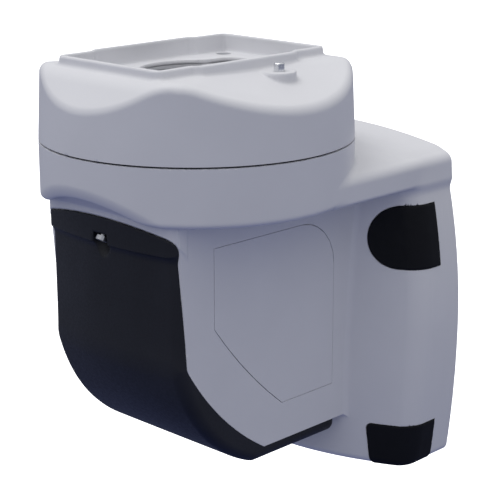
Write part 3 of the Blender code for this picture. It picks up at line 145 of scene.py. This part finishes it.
BLOCK_HALF_X, WIDEST_Z = 124.0, -160.0
BULGE_R_UP, BULGE_R_DOWN = 470.0, 830.0
BLOCK_Y, BLOCK_Y_Z, LEAN_R, FACE_R = 82.0, -205.0, 1000.0, 207.0
BLOCK_BOTTOM, BLOCK_FOOT_R, BLOCK_CORNER_R = -272.0, 7.0, 11.0
BLOCK_WALL = 4.0
REAR_TOP = local_box("back_cover")[1].z + 0.8     # upper edge of the opening behind
NECK_X, NECK_TOP, NECK_CROWN, NECK_LOW = 112.0, -12.0, 12.0, -44.5
NECK_FRONT_Y, NECK_EDGE_R, NECK_LOW_R = 30, 6, 3
BLOCK_TOP_R, NECK_FILLET, BODY_FILLET, DRUM_FILLET = 8, 8, 4, 3
WALL_GAP = 0.4
REAR_Y = 150              # the recess behind the back cover starts here

PAD_PROUD, PAD_T, PAD_GAP, PAD_REAR_Y = 0.8, 2.4, 0.4, 146.0
PAD_UP_X, PAD_UP_Z, PAD_UP_H = 105.0, -83.0, 25.0
PAD_LOW_X, PAD_LOW_Z = 86.0, -236.0
PAD_LOW_LEAN, PAD_LOW_R, PAD_EDGE_R, PAD_BED = 0.08, 5, 1.2, 0.6

SIDE_T, SIDE_BED = 1.5, 0.4
SIDE_TOP, SIDE_LOW, SIDE_FRONT, SIDE_REAR, SIDE_R = -64.7, -201.0, -52.0, 77.7, 38.0
SIDE_CUT_Y, SIDE_CUT_Z, SIDE_CUT_SAG = 19.5, -125.3, 3.4

HINGE_Y, HINGE_Z, KNUCKLE_R, KNUCKLE_HALF, POST_W = DRUM_R + 6, 2.0, 4.5, 15.0, 12.0
PIN_HOLE_R = 2.3
KNUCKLE_GAP, KNUCKLE_EDGE_R = 0.4, 0.6


# ---- implicit shapes --------------------------------------------------------------
def join(a, b, r):
    """Union with a fillet of radius r in the inner corner."""
    inner = np.hypot(np.maximum(r - a, 0), np.maximum(r - b, 0))
    return np.maximum(r, np.minimum(a, b)) - inner


def meet(a, b, r):
    """Intersection with a rounding of radius r on the outer edge."""
    outer = np.hypot(np.maximum(r + a, 0), np.maximum(r + b, 0))
    return np.minimum(-r, np.maximum(a, b)) + outer


def cut(a, b, r):
    """a without b, with a rounding of radius r on the edge."""
    return meet(a, -b, r)


def soft_min(a, b, k):
    """The lower of two values, blended where they are less than k apart."""
    h = np.maximum(k - np.abs(a - b), 0) / k
    return np.minimum(a, b) - h * h * k / 4


def smooth_step(low, high, v):
    t = np.clip((v - low) / (high - low), 0, 1)
    return t * t * (3 - 2 * t)


def arc_side(y, z, start, stop, sag):
    """Distance outside the circle through two points that bulges by sag away from +y, +z."""
    (y0, z0), (y1, z1) = start, stop
    chord = math.hypot(y1 - y0, z1 - z0)
    radius = (chord * chord / 4 + sag * sag) / (2 * sag)
    ny, nz = (z1 - z0) / chord, -(y1 - y0) / chord
    cy, cz = (y0 + y1) / 2 - ny * (radius - sag), (z0 + z1) / 2 - nz * (radius - sag)
    return np.hypot(y - cy, z - cz) - radius


def line_side(y, z, start, stop):
    """Signed distance to the right of the way from start to stop."""
    (y0, z0), (y1, z1) = start, stop
    chord = math.hypot(y1 - y0, z1 - z0)
    return ((y - y0) * (z1 - z0) - (z - z0) * (y1 - y0)) / chord


def keel_side(y, z, front, fold, low, keel_y, sag, soft=1.0):
    """Side profile of the body or its cover: front line, keel curve and flat bottom."""
    curve = arc_side(y, z, fold, (keel_y, low), sag)
    f = meet(line_side(y, z, front, fold), np.where(z < fold[1] + 60, curve, -200.0), soft)
    return np.maximum(f, low - z)


def chin_plane(y, z, drop=CHIN_DROP):
    """Positive below the chin."""
    return (-drop - y - z) / math.sqrt(2)


def neck_top(x):
    return NECK_TOP - NECK_CROWN * (x / NECK_X) ** 2


def block_shape(x, y, z):
    bulge = np.where(z > WIDEST_Z, BULGE_R_UP, BULGE_R_DOWN)
    side = np.abs(x) - (BLOCK_HALF_X - (z - WIDEST_Z) ** 2 / (2 * bulge))
    face = (BLOCK_Y + (z - BLOCK_Y_Z) ** 2 / (2 * LEAN_R) + x * x / (2 * FACE_R) - y)
    face = face / np.sqrt(1 + (x / FACE_R) ** 2)
    f = meet(side, face, BLOCK_CORNER_R)
    return meet(f, BLOCK_BOTTOM - z, BLOCK_FOOT_R)


def pad_outline(x, z, kind, grow):
    """2D outline of the right-hand pads in the front view."""
    if kind == "upper":
        end = np.hypot(np.minimum(x - PAD_UP_X, 0), z - PAD_UP_Z) - PAD_UP_H
        return end - grow
    front = PAD_LOW_X - x - (z - PAD_LOW_Z) * PAD_LOW_LEAN
    return meet(front, z - PAD_LOW_Z, PAD_LOW_R) - grow


def pad_shape(kind, side):
    def shape(x, y, z):
        block = block_shape(x, y, z)
        outline = np.maximum(pad_outline(side * x, z, kind, -PAD_GAP), y - PAD_REAR_Y + PAD_GAP)
        f = meet(block - PAD_PROUD, outline, PAD_EDGE_R)
        return np.maximum(f, -(block - PAD_PROUD + PAD_T))
    return shape


def side_outline(y, z, grow):
    """2D outline of the side cover."""
    cy, cz = SIDE_REAR - SIDE_R, SIDE_TOP - SIDE_R
    corner = np.hypot(np.maximum(y - cy, 0), np.maximum(z - cz, 0)) - SIDE_R
    slant = arc_side(y, z, (SIDE_FRONT, SIDE_CUT_Z), (SIDE_CUT_Y, SIDE_LOW), SIDE_CUT_SAG)
    f = np.maximum(np.maximum(corner, SIDE_FRONT - y), SIDE_LOW - z)
    return np.maximum(f, slant) - grow


def body_shape(x, y, z):
    f = keel_side(y, z, (BODY_FRONT_Y, -CHIN_DROP - BODY_FRONT_Y), (FOLD_Y, FOLD_Z), KEEL_Z, 0.0,
                  KEEL_SAG)
    f = np.maximum(f, z + DRUM_H - 2)
    f = np.maximum(f, y - BLOCK_Y - BODY_REACH)
    return np.maximum(np.abs(x) - BODY_X, f)


def lip_shape(x, y, z):
    """White front wall that shows between the chin and the cover's upper edge."""
    front = COVER_FRONT_Y - COVER_GAP + x * x / (2 * COVER_PLAN_R) - y
    f = meet(np.abs(x) - BODY_X, front, COVER_EDGE_R)
    f = np.maximum(f, np.maximum(chin_plane(y, z), z + DRUM_H - 5))
    return np.maximum(f, np.maximum(y - BODY_FRONT_Y - LIP_DEPTH,
                                    np.hypot(x, y) - DRUM_R + LIP_INSET))


def housing_outer(x, y, z):
    """Outside of the housing: drum, body, neck and back block."""
    r = np.hypot(x, y)
    drum = meet(r - DRUM_R, -DRUM_H - z, DRUM_EDGE_R)
    dish = CHIN_DISH * smooth_step(DRUM_R - DISH_START, DRUM_R - DISH_END, r)
    drum = meet(drum, chin_plane(y, z, CHIN_DROP + CHIN_LOW) + dish, CHIN_EDGE_R)
    drum = join(drum, lip_shape(x, y, z), LIP_FILLET)
    body = body_shape(x, y, z)
    neck = meet(np.abs(x) - NECK_X, z - neck_top(x), NECK_EDGE_R)
    neck = meet(neck, NECK_LOW - z, NECK_LOW_R)
    neck = np.maximum(neck, NECK_FRONT_Y - y)
    block = meet(block_shape(x, y, z), z - neck_top(x), BLOCK_TOP_R)
    block = join(block, neck, NECK_FILLET)
    f = join(body, block, BODY_FILLET)
    f = join(drum, f, DRUM_FILLET)
    f = np.maximum(f, z + GROOVE_FOOT * (r > BORE_R + GROOVE_IN))
    return np.maximum(f, y - WALL_Y + WALL_GAP)


def housing_shape(x, y, z):
    """The housing, solid but for the pan's bore, the rear recess and the outer pockets.

    The tank's well, the inner spaces and the power socket's hole aren't cut out of it.
    """
    f = housing_outer(x, y, z)
    r = np.hypot(x, y)
    bore = np.maximum(np.maximum(r - BORE_R, BORE_FLOOR - z),
                      (r - z - BORE_BEVEL) / math.sqrt(2))
    f = np.maximum(f, -bore)
    block = block_shape(x, y, z)
    rear = np.maximum(np.maximum(block + BLOCK_WALL, REAR_Y - y), z - REAR_TOP)
    f = np.maximum(f, -rear)
    for kind in ("upper", "lower"):
        pocket = np.maximum(np.maximum(pad_outline(np.abs(x), z, kind, 0.0), y - PAD_REAR_Y),
                            -(block - PAD_PROUD + PAD_T + PAD_BED))
        f = np.maximum(f, -pocket)
    recess = np.maximum(side_outline(y, z, 0.0), BODY_X - SIDE_T - SIDE_BED - np.abs(x))
    return np.maximum(f, -recess)


def cover_shape(x, y, z):
    """Front and keel cover with its ledge and the inclined bore for its screw."""
    plan = x * x / (2 * COVER_PLAN_R)
    front = COVER_FRONT_Y + plan - y
    upright = smooth_step(COVER_KEEL_Z, FOLD_Z + 20, z)
    f = keel_side(y - plan * upright, z, (COVER_FRONT_Y + COVER_STEP, 0.0),
                  (COVER_FOLD_Y, FOLD_Z), COVER_KEEL_Z, COVER_KEEL_Y, COVER_KEEL_SAG,
                  COVER_FOLD_R)
    band = np.maximum(front, (LEDGE_Z - z) * 0.8 + front * 0.6)
    f = join(f, band, COVER_BAND_R)
    f = meet(np.abs(x) - (BODY_X - COVER_SIDE_GAP), f, COVER_EDGE_R)
    f = meet(f, chin_plane(-y, -z, -CHIN_DROP - CHIN_GAP), COVER_CHIN_R)
    f = meet(f, y - COVER_REAR_Y, COVER_REAR_R)
    hollow = keel_side(y, z, (BODY_FRONT_Y - COVER_GAP, 0.0), (FOLD_Y - COVER_GAP, FOLD_Z),
                       KEEL_Z - COVER_GAP, 0.0, KEEL_SAG)
    f = np.maximum(f, -hollow)
    along = (y - SEAT.y) * BORE_AXIS.y + (z - SEAT.z) * BORE_AXIS.z
    across = np.hypot(x, (y - SEAT.y) * BORE_AXIS.z - (z - SEAT.z) * BORE_AXIS.y)
    return cut(f, np.maximum(across - BORE_HOLE_R, -along), BORE_MOUTH_R)


def frame_2d(x, y):
    """Round-cornered frame outline whose long sides stand out between the corners."""
    v = np.abs(y - FRAME_Y)
    half = FRAME_HALF_X + FRAME_BULGE * smooth_step(FRAME_BULGE_Y + 5, FRAME_BULGE_Y - 3, v)
    return meet(np.abs(x) - half, v - FRAME_HALF_Y, FRAME_CORNER_R)


def opening_2d(x, y):
    """Outline of the opening in the recess floor: a round with a lobe at each end."""
    lobes = meet(np.abs(x) - SLOT_HALF_X, np.abs(y - FRAME_Y) - SLOT_HALF_Y, SLOT_R)
    return join(np.hypot(x, y) - OPENING_R, lobes, LOBE_FILLET)


def roof(x, y):
    """Height of the lid's top: a flat shelf with a shallow scoop each side and one each end."""
    side = SHELF_Z - SIDE_FALL * (np.abs(x) - SIDE_X) + SIDE_LIFT * y * y
    end = SHELF_Z - END_FALL * (np.abs(y - FRAME_Y) - END_Y)
    top = soft_min(np.full_like(x, SHELF_Z), side, SIDE_BLEND)
    return soft_min(top, end, END_BLEND)


def lid_shape(x, y, z):
    """The lid's shell with its frame, recess, opening, boss and switch posts."""
    r = np.hypot(x, y)
    wall = r - DRUM_R + (DRUM_R - LID_TOP_R) / SHELF_Z * z
    top = roof(x, y)
    step = 0.5
    slope = np.hypot(roof(x + step, y) - roof(x - step, y), roof(x, y + step) - roof(x, y - step))
    slope = slope / (2 * step)
    level = 1 / np.sqrt(1 + slope * slope)
    lean = np.arctan(slope)
    rim = RIM_R * level * np.tan(math.pi / 4 - lean / 2)
    shell = meet(wall, (z - top) * level, rim)
    boss = meet(np.hypot(x - BUTTON_X, y - BUTTON_Y) - BOSS_R, z - BOSS_Z, BOSS_EDGE_R)
    shell = join(shell, boss, BOSS_FILLET)
    outline = frame_2d(x, y)
    ring = meet(outline - (FRAME_TOP - z) * FRAME_DRAFT, z - FRAME_TOP, FRAME_EDGE_R)
    ring = np.maximum(ring, RECESS_Z - RECESS_T - z)
    f = join(shell, ring, FRAME_FILLET)
    hollow = np.maximum(wall + LID_WALL, (z - top) * level + ROOF_T)
    keep = np.maximum(outline, RECESS_Z - RECESS_T - z)
    f = np.maximum(f, -np.maximum(hollow, -keep))
    recess = meet(outline + FRAME_WALL, RECESS_Z - z, RECESS_CORNER_R)
    f = cut(f, recess, RECESS_EDGE_R)
    opening = np.maximum(opening_2d(x, y), z - RECESS_Z - 2)
    f = cut(f, opening, OPENING_EDGE_R)
    f = np.maximum(f, GROOVE_TOP - z)
    sink = np.hypot(np.abs(x) - SINK_X, np.abs(y - FRAME_Y) - SINK_Y) - SINK_R
    f = np.maximum(f, -np.maximum(sink, RECESS_Z - SINK_DEPTH - z))
    shank = np.hypot(np.abs(x) - SINK_X, np.abs(y - FRAME_Y) - SINK_Y) - SHANK_HOLE_R
    f = np.maximum(f, -shank)
    button = np.hypot(x - BUTTON_X, y - BUTTON_Y)
    f = np.maximum(f, BUTTON_R + BUTTON_GAP - button)
    post = np.hypot(x - BUTTON_X, np.abs(y - BUTTON_Y) - SWITCH_SPAN)
    post = np.maximum(np.maximum(post - SWITCH_POST_R, SHANK_HOLE_R - post),
                      np.maximum(SWITCH_POST_Z - z, (z - top) * level + ROOF_T / 2))
    return np.minimum(f, post)


def hinge_post(side):
    inner = KNUCKLE_HALF + KNUCKLE_GAP
    outer = inner + POST_W

    def shape(x, y, z):
        eye = np.hypot(y - HINGE_Y, z - HINGE_Z)
        f = np.minimum(eye - KNUCKLE_R, np.maximum(np.abs(y - HINGE_Y) - KNUCKLE_R, z - HINGE_Z))
        f = meet(f, np.maximum(inner - side * x, side * x - outer), KNUCKLE_EDGE_R)
        f = np.maximum(f, NECK_TOP - 2 - z)
        return np.maximum(f, PIN_HOLE_R - eye)
    return shape


def lid_knuckle(x, y, z):
    eye = np.hypot(y - HINGE_Y, z - HINGE_Z)
    arm = np.maximum(np.abs(y - HINGE_Y + 5) - 5, np.abs(z - HINGE_Z - 1.7) - 2.8)
    f = join(eye - KNUCKLE_R, arm, 1.5)
    f = meet(f, np.abs(x) - KNUCKLE_HALF, KNUCKLE_EDGE_R)
    f = np.maximum(f, GROOVE_TOP + 0.2 - z - 3 * (y > HINGE_Y - 3))
    return np.maximum(f, PIN_HOLE_R - eye)


# ---- dual contouring --------------------------------------------------------------
BLOCK = 4                 # cells along one side of a coarse block
FLAT = 25.0               # corners whose normals differ by less than this, in degrees, share one


def gradient(shape, p, eps=0.02):
    """Unit gradient from the four corners of a small tetrahedron."""
    g = np.zeros_like(p)
    for corner in ((1, 1, 1), (1, -1, -1), (-1, 1, -1), (-1, -1, 1)):
        corner = np.array(corner, float)
        q = p + corner * eps
        g += corner * shape(q[:, 0], q[:, 1], q[:, 2])[:, None]
    return g / np.maximum(np.linalg.norm(g, axis=1, keepdims=True), 1e-12)


def sample(shape, low, cell, blocks):
    """Values at the grid's points: exact near the surface, only their sign elsewhere."""
    size = BLOCK * cell
    mid = [low[a] + size * (np.arange(blocks[a]) + 0.5) for a in range(3)]
    gx, gy, gz = np.meshgrid(*mid, indexing="ij")
    coarse = shape(gx.ravel(), gy.ravel(), gz.ravel()).reshape(gx.shape)
    values = np.full([n * BLOCK + 1 for n in blocks], 1e3, np.float32)
    inner = np.where(coarse < 0, -1e3, 1e3).astype(np.float32)
    values[:-1, :-1, :-1] = inner.repeat(BLOCK, 0).repeat(BLOCK, 1).repeat(BLOCK, 2)
    near = np.argwhere(np.abs(coarse) < size * 1.15)
    step = np.arange(BLOCK + 1)
    offsets = np.stack(np.meshgrid(step, step, step, indexing="ij"), -1).reshape(-1, 3)
    for part in np.array_split(near, max(1, len(near) // 4000)):
        index = (part[:, None, :] * BLOCK + offsets[None]).reshape(-1, 3)
        p = low + index * cell
        values[index[:, 0], index[:, 1], index[:, 2]] = shape(p[:, 0], p[:, 1], p[:, 2])
    return values


def crossings(shape, values, low, cell, axis):
    """Grid edges along one axis that the surface crosses: index, sense and crossing point."""
    step = np.eye(3, dtype=int)[axis]
    head = [slice(None)] * 3
    tail = [slice(None)] * 3
    head[axis], tail[axis] = slice(None, -1), slice(1, None)
    first, last = values[tuple(head)], values[tuple(tail)]
    index = np.argwhere((first < 0) != (last < 0))
    a = low + index * cell
    b = a + step * cell
    rising = first[tuple(index.T)] < 0
    for _ in range(9):
        m = (a + b) / 2
        inside = shape(m[:, 0], m[:, 1], m[:, 2]) < 0
        same = inside == rising
        a = np.where(same[:, None], m, a)
        b = np.where(same[:, None], b, m)
    return index, rising, (a + b) / 2


def contour(shape, low, high, cell):
    """Vertices and quads of a shape's surface inside a box."""
    low = np.array(low, float) - 1.5 * cell
    blocks = [int(math.ceil((high[a] + 1.5 * cell - low[a]) / (cell * BLOCK))) for a in range(3)]
    values = sample(shape, low, cell, blocks)
    dims = np.array(values.shape)

    def cell_id(index):
        return (index[:, 0] * dims[1] + index[:, 1]) * dims[2] + index[:, 2]

    quads, points, normals = [], [], []
    for axis in range(3):
        index, rising, p = crossings(shape, values, low, cell, axis)
        u, v = np.eye(3, dtype=int)[(axis + 1) % 3], np.eye(3, dtype=int)[(axis + 2) % 3]
        ring = np.stack([cell_id(index - u - v), cell_id(index - v), cell_id(index),
                         cell_id(index - u)], 1)
        ring[~rising] = ring[~rising][:, ::-1]
        quads.append(ring)
        points.append(p)
        normals.append(gradient(shape, p))
    quads = np.concatenate(quads)
    p = np.repeat(np.concatenate(points), 4, 0)
    n = np.repeat(np.concatenate(normals), 4, 0)
    cells, owner = np.unique(quads.ravel(), return_inverse=True)
    owner = owner.ravel()
    count = np.bincount(owner).astype(float)
    mean = np.stack([np.bincount(owner, p[:, a]) for a in range(3)], 1) / count[:, None]
    reach = np.einsum("ij,ij->i", n, p - mean[owner])
    matrix = np.empty((len(cells), 3, 3))
    for a in range(3):
        for b in range(3):
            matrix[:, a, b] = np.bincount(owner, n[:, a] * n[:, b])
        matrix[:, a, a] += 0.02 * count
    right = np.stack([np.bincount(owner, n[:, a] * reach) for a in range(3)], 1)
    vertex = mean + np.linalg.solve(matrix, right[:, :, None])[:, :, 0]
    corner = np.stack(np.unravel_index(cells, dims), 1)
    vertex = np.clip(vertex, low + corner * cell, low + (corner + 1) * cell)
    return vertex, owner.reshape(-1, 4)


def skin(name, shape, low, high, cell, material, body):
    """Mesh object of an implicit shape, shaded with the shape's own normals."""
    vertex, quads = contour(shape, low, high, cell)
    middle = vertex[quads].mean(1)
    corner = vertex[quads]
    near = corner + 0.2 * (middle[:, None] - corner)
    split = gradient(shape, near.reshape(-1, 3))
    shared = gradient(shape, vertex)[quads.ravel()]
    close = np.einsum("ij,ij->i", split, shared) > math.cos(math.radians(FLAT))
    normal = np.where(close[:, None], shared, split)
    mesh = bpy.data.meshes.new(name)
    mesh.vertices.add(len(vertex))
    mesh.vertices.foreach_set("co", (vertex * MM + np.array(DATUM)).astype(np.float32).ravel())
    mesh.loops.add(quads.size)
    mesh.loops.foreach_set("vertex_index", quads.ravel().astype(np.int32))
    mesh.polygons.add(len(quads))
    mesh.polygons.foreach_set("loop_start", np.arange(0, quads.size, 4, dtype=np.int32))
    mesh.update(calc_edges=True)
    mesh.validate()
    mesh.shade_smooth()
    if len(mesh.loops) == len(normal):
        mesh.normals_split_custom_set(normal.tolist())
    return place(name, mesh, material, body)


def place(name, mesh, material, body):
    obj = bpy.data.objects.new(name, mesh)
    bpy.context.collection.objects.link(obj)
    mesh.materials.append(material)
    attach(obj, body)
    return obj


# ---- materials --------------------------------------------------------------------
def node_material(name, color, roughness, metallic=0.0):
    mat = bpy.data.materials.new(name)
    mat.use_nodes = True
    shader = mat.node_tree.nodes["Principled BSDF"]
    shader.inputs["Base Color"].default_value = (*color, 1)
    shader.inputs["Roughness"].default_value = roughness
    shader.inputs["Metallic"].default_value = metallic
    return mat, mat.node_tree.nodes, mat.node_tree.links, shader


def noise(nodes, links, size_mm, detail=2.0, stretch=(1, 1, 1)):
    """Noise in the object's own coordinates, its features about size_mm across."""
    coords = nodes.new("ShaderNodeTexCoord")
    scale = nodes.new("ShaderNodeMapping")
    scale.inputs["Scale"].default_value = tuple(s / (size_mm * MM) for s in stretch)
    links.new(coords.outputs["Object"], scale.inputs["Vector"])
    texture = nodes.new("ShaderNodeTexNoise")
    texture.inputs["Scale"].default_value = 1.0
    texture.inputs["Detail"].default_value = detail
    links.new(scale.outputs["Vector"], texture.inputs["Vector"])
    return texture


def spread(nodes, links, source, low, high):
    """Noise turned into a number between low and high."""
    rng = nodes.new("ShaderNodeMapRange")
    rng.inputs["From Min"].default_value = 0.3
    rng.inputs["From Max"].default_value = 0.7
    rng.inputs["To Min"].default_value = low
    rng.inputs["To Max"].default_value = high
    links.new(source, rng.inputs["Value"])
    return rng.outputs["Result"]


def tint(nodes, links, source, dark, light):
    ramp = nodes.new("ShaderNodeValToRGB")
    ramp.color_ramp.elements[0].position = 0.3
    ramp.color_ramp.elements[0].color = (*dark, 1)
    ramp.color_ramp.elements[1].position = 0.7
    ramp.color_ramp.elements[1].color = (*light, 1)
    links.new(source, ramp.inputs["Fac"])
    return ramp.outputs["Color"]


def add_bump(nodes, links, shader, height, strength, depth_mm):
    bump = nodes.new("ShaderNodeBump")
    bump.inputs["Strength"].default_value = strength
    bump.inputs["Distance"].default_value = depth_mm * MM
    links.new(height, bump.inputs["Height"])
    links.new(bump.outputs["Normal"], shader.inputs["Normal"])


def moulded(name, color, roughness, grain_mm, grain_depth, shift=0.03, gloss=0.4):
    """Moulded plastic: fine spark-eroded grain, slow colour drift, uneven gloss."""
    mat, nodes, links, shader = node_material(name, color, roughness)
    shader.inputs["Specular IOR Level"].default_value = gloss
    dark = tuple(c * (1 - shift) for c in color)
    slow = noise(nodes, links, 45, 3)
    links.new(tint(nodes, links, slow.outputs["Fac"], dark, color), shader.inputs["Base Color"])
    patch = noise(nodes, links, 9, 3)
    links.new(spread(nodes, links, patch.outputs["Fac"], roughness - 0.04, roughness + 0.05),
              shader.inputs["Roughness"])
    grain = noise(nodes, links, grain_mm, 3)
    add_bump(nodes, links, shader, grain.outputs["Fac"], 0.5, grain_depth)
    return mat


def leather_grain(name, color, roughness):
    """Dark moulded cover with a pebbled leather-like texture."""
    mat, nodes, links, shader = node_material(name, color, roughness)
    shader.inputs["Specular IOR Level"].default_value = 0.3
    coords = nodes.new("ShaderNodeTexCoord")
    cells = nodes.new("ShaderNodeTexVoronoi")
    cells.feature = "DISTANCE_TO_EDGE"
    cells.inputs["Scale"].default_value = 1 / (1.3 * MM)
    wobble = noise(nodes, links, 3.0, 2)
    mix = nodes.new("ShaderNodeMixRGB")
    mix.blend_type = "ADD"
    mix.inputs["Fac"].default_value = 0.0015
    links.new(coords.outputs["Object"], mix.inputs["Color1"])
    links.new(wobble.outputs["Color"], mix.inputs["Color2"])
    links.new(mix.outputs["Color"], cells.inputs["Vector"])
    slow = noise(nodes, links, 30, 3)
    dark = tuple(c * 0.75 for c in color)
    links.new(tint(nodes, links, slow.outputs["Fac"], dark, color), shader.inputs["Base Color"])
    patch = noise(nodes, links, 2.0, 2)
    links.new(spread(nodes, links, patch.outputs["Fac"], roughness - 0.06, roughness + 0.08),
              shader.inputs["Roughness"])
    add_bump(nodes, links, shader, cells.outputs["Distance"], 0.35, 0.25)
    return mat


def metal(name, color, roughness, stretch=(1, 1, 12), grain_mm=3.0):
    """Metal with drawn or turned lines along one direction."""
    mat, nodes, links, shader = node_material(name, color, roughness, 1.0)
    lines = noise(nodes, links, grain_mm, 4, stretch)
    links.new(spread(nodes, links, lines.outputs["Fac"], roughness - 0.07, roughness + 0.1),
              shader.inputs["Roughness"])
    slow = noise(nodes, links, 6, 2)
    dark = tuple(c * 0.85 for c in color)
    links.new(tint(nodes, links, slow.outputs["Fac"], dark, color), shader.inputs["Base Color"])
    add_bump(nodes, links, shader, lines.outputs["Fac"], 0.15, 0.02)
    return mat


WHITE = moulded("white_moulding", (0.74, 0.74, 0.765), 0.42, 0.5, 0.02)
DARK = leather_grain("grained_cover", (0.016, 0.017, 0.022), 0.5)
RUBBER = moulded("rubber_pad", (0.004, 0.0045, 0.007), 0.65, 0.35, 0.03, 0.2, 0.2)
BRIGHT = metal("turned_steel", (0.78, 0.79, 0.81), 0.22)
ZINC = metal("zinc_plate", (0.60, 0.61, 0.63), 0.38, (1, 1, 1), 1.5)
TANK = moulded("tank_polypropylene", (0.55, 0.57, 0.60), 0.45, 0.8, 0.02)
BLUE = moulded("impeller_polypropylene", (0.05, 0.16, 0.36), 0.4, 0.8, 0.02)
GREEN = moulded("solder_mask", (0.02, 0.14, 0.07), 0.4, 0.6, 0.03, 0.2)
BLACK = moulded("black_moulding", (0.016, 0.016, 0.018), 0.5, 0.5, 0.03, 0.15)

slot_material = {"white_plastic": WHITE, "dark_plastic": DARK, "black_rubber": RUBBER,
                 "stainless_steel": BRIGHT, "zinc_plated_steel": ZINC, "tank_plastic": TANK,
                 "impeller_plastic": BLUE, "circuit_board": GREEN, "black_plastic": BLACK}
for part in frame["record"]["subparts"]:
    node = frame["nodes"][part["node"]]
    node.data.materials.clear()
    node.data.materials.append(slot_material[part["material_slot"]])


# ---- skinned pieces ---------------------------------------------------------------
FINE = 1.5         # cell of the large pieces, mm
PAD_CELL, HINGE_CELL = 1.0, 0.6


def moulding(name, shape, low, high, cell, material, body, slot, *replaced):
    piece = skin(name, shape, low, high, cell, material, body)
    if replaced:
        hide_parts(*replaced)


housing_low, housing_high = local_box("housing")
moulding("housing_shell", housing_shape, housing_low, (housing_high.x, housing_high.y, 1.0), FINE,
         WHITE, "housing", "white_plastic", "housing")
moulding("lid_shell", lid_shape, (-DRUM_R, -DRUM_R, 0), (DRUM_R, DRUM_R, FRAME_TOP), FINE,
         WHITE, "lid", "white_plastic", "lid")
cover_low, cover_high = local_box("front_cover")
moulding("front_cover_shell", cover_shape, cover_low, cover_high, FINE,
         DARK, "housing", "dark_plastic", "front_cover")
for side, label in ((1, "right"), (-1, "left")):
    for kind in ("upper", "lower"):
        node = "pad_%s_%s" % (kind, label)
        low, high = local_box(node)
        moulding("rubber_" + node, pad_shape(kind, side), low, high, PAD_CELL, RUBBER, "housing",
                 "black_rubber", node)
    inner, outer = sorted((side * KNUCKLE_HALF, side * (KNUCKLE_HALF + POST_W + 1)))
    moulding("hinge_post_" + label, hinge_post(side), (inner, HINGE_Y - 5, NECK_TOP - 3),
             (outer, HINGE_Y + 5, HINGE_Z + 5), HINGE_CELL, WHITE, "housing", "white_plastic")
moulding("lid_knuckle", lid_knuckle, (-KNUCKLE_HALF, HINGE_Y - 10, HINGE_Z - 5),
         (KNUCKLE_HALF, HINGE_Y + 5, HINGE_Z + 5), HINGE_CELL, WHITE, "lid", "white_plastic")


# ---- floor, light, camera ---------------------------------------------------------
FLOOR_GLOW = 1.0          # the floor reads as white paper, without lighting the machine
FLOOR_DROP = 0.25         # the machine hangs this far above the floor, in metres
floor_mesh = bpy.data.meshes.new("floor")
floor_mesh.from_pydata([(-6, -6, 0), (6, -6, 0), (6, 6, 0), (-6, 6, 0)], [], [(0, 1, 2, 3)])
floor = bpy.data.objects.new("floor", floor_mesh)
floor.location.z = cad_box[0][2] - FLOOR_DROP
bpy.context.collection.objects.link(floor)
floor_mat, _, _, floor_shader = node_material("pale_floor", (0.9, 0.9, 0.9), 0.9)
floor_mesh.materials.append(floor_mat)
floor_shader.inputs["Emission Color"].default_value = (1, 1, 1, 1)
floor_shader.inputs["Emission Strength"].default_value = FLOOR_GLOW
floor.visible_diffuse = False
floor.visible_glossy = False
floor.visible_shadow = False

world = bpy.data.worlds.new("studio")
bpy.context.scene.world = world
world.use_nodes = True
nodes, links = world.node_tree.nodes, world.node_tree.links
direction = nodes.new("ShaderNodeTexCoord")
split = nodes.new("ShaderNodeSeparateXYZ")
links.new(direction.outputs["Generated"], split.inputs["Vector"])
rise = nodes.new("ShaderNodeMapRange")
rise.inputs["From Min"].default_value = -1.0
rise.inputs["From Max"].default_value = 1.0
links.new(split.outputs["Z"], rise.inputs["Value"])
sky = nodes.new("ShaderNodeValToRGB")
sky.color_ramp.elements[0].position = 0.0
sky.color_ramp.elements[0].color = (0.035, 0.06, 0.24, 1)
sky.color_ramp.elements[1].position = 1.0
sky.color_ramp.elements[1].color = (0.92, 0.92, 0.92, 1)
middle = sky.color_ramp.elements.new(0.5)
middle.color = (0.30, 0.315, 0.375, 1)
links.new(rise.outputs["Result"], sky.inputs["Fac"])
links.new(sky.outputs["Color"], nodes["Background"].inputs["Color"])
nodes["Background"].inputs["Strength"].default_value = 1.0


def area_light(name, place, target, size, watts, color=(1, 1, 1)):
    light = bpy.data.lights.new(name, "AREA")
    light.shape = "DISK"
    light.size = size
    light.energy = watts
    light.color = color
    obj = bpy.data.objects.new(name, light)
    obj.location = place
    aim = Vector(target) - Vector(place)
    obj.rotation_euler = aim.to_track_quat("-Z", "Y").to_euler()
    bpy.context.collection.objects.link(obj)


centre = (Vector(cad_box[0]) + Vector(cad_box[1])) / 2
KEY_SIZE, KEY_WATTS = 1.2, 8
area_light("key", centre + Vector((-0.3, -0.4, 1.6)), centre, KEY_SIZE, KEY_WATTS)

CAMERA_PLACE = Vector((810.8, -778.7, 225.8)) * MM       # from the drum's axis
CAMERA_PITCH, CAMERA_TURN = 15.69, 44.14                 # degrees down, and round from -Y
CAMERA_LENS = 109.84
camera_data = bpy.data.cameras.new("camera")
camera_data.lens = CAMERA_LENS
camera_data.sensor_width = 36.0
camera = bpy.data.objects.new("camera", camera_data)
camera.location = DATUM + CAMERA_PLACE
camera.rotation_euler = (math.radians(90 - CAMERA_PITCH), 0, math.radians(CAMERA_TURN))
bpy.context.collection.objects.link(camera)
bpy.context.scene.camera = camera
bpy.context.scene.view_settings.view_transform = "Standard"
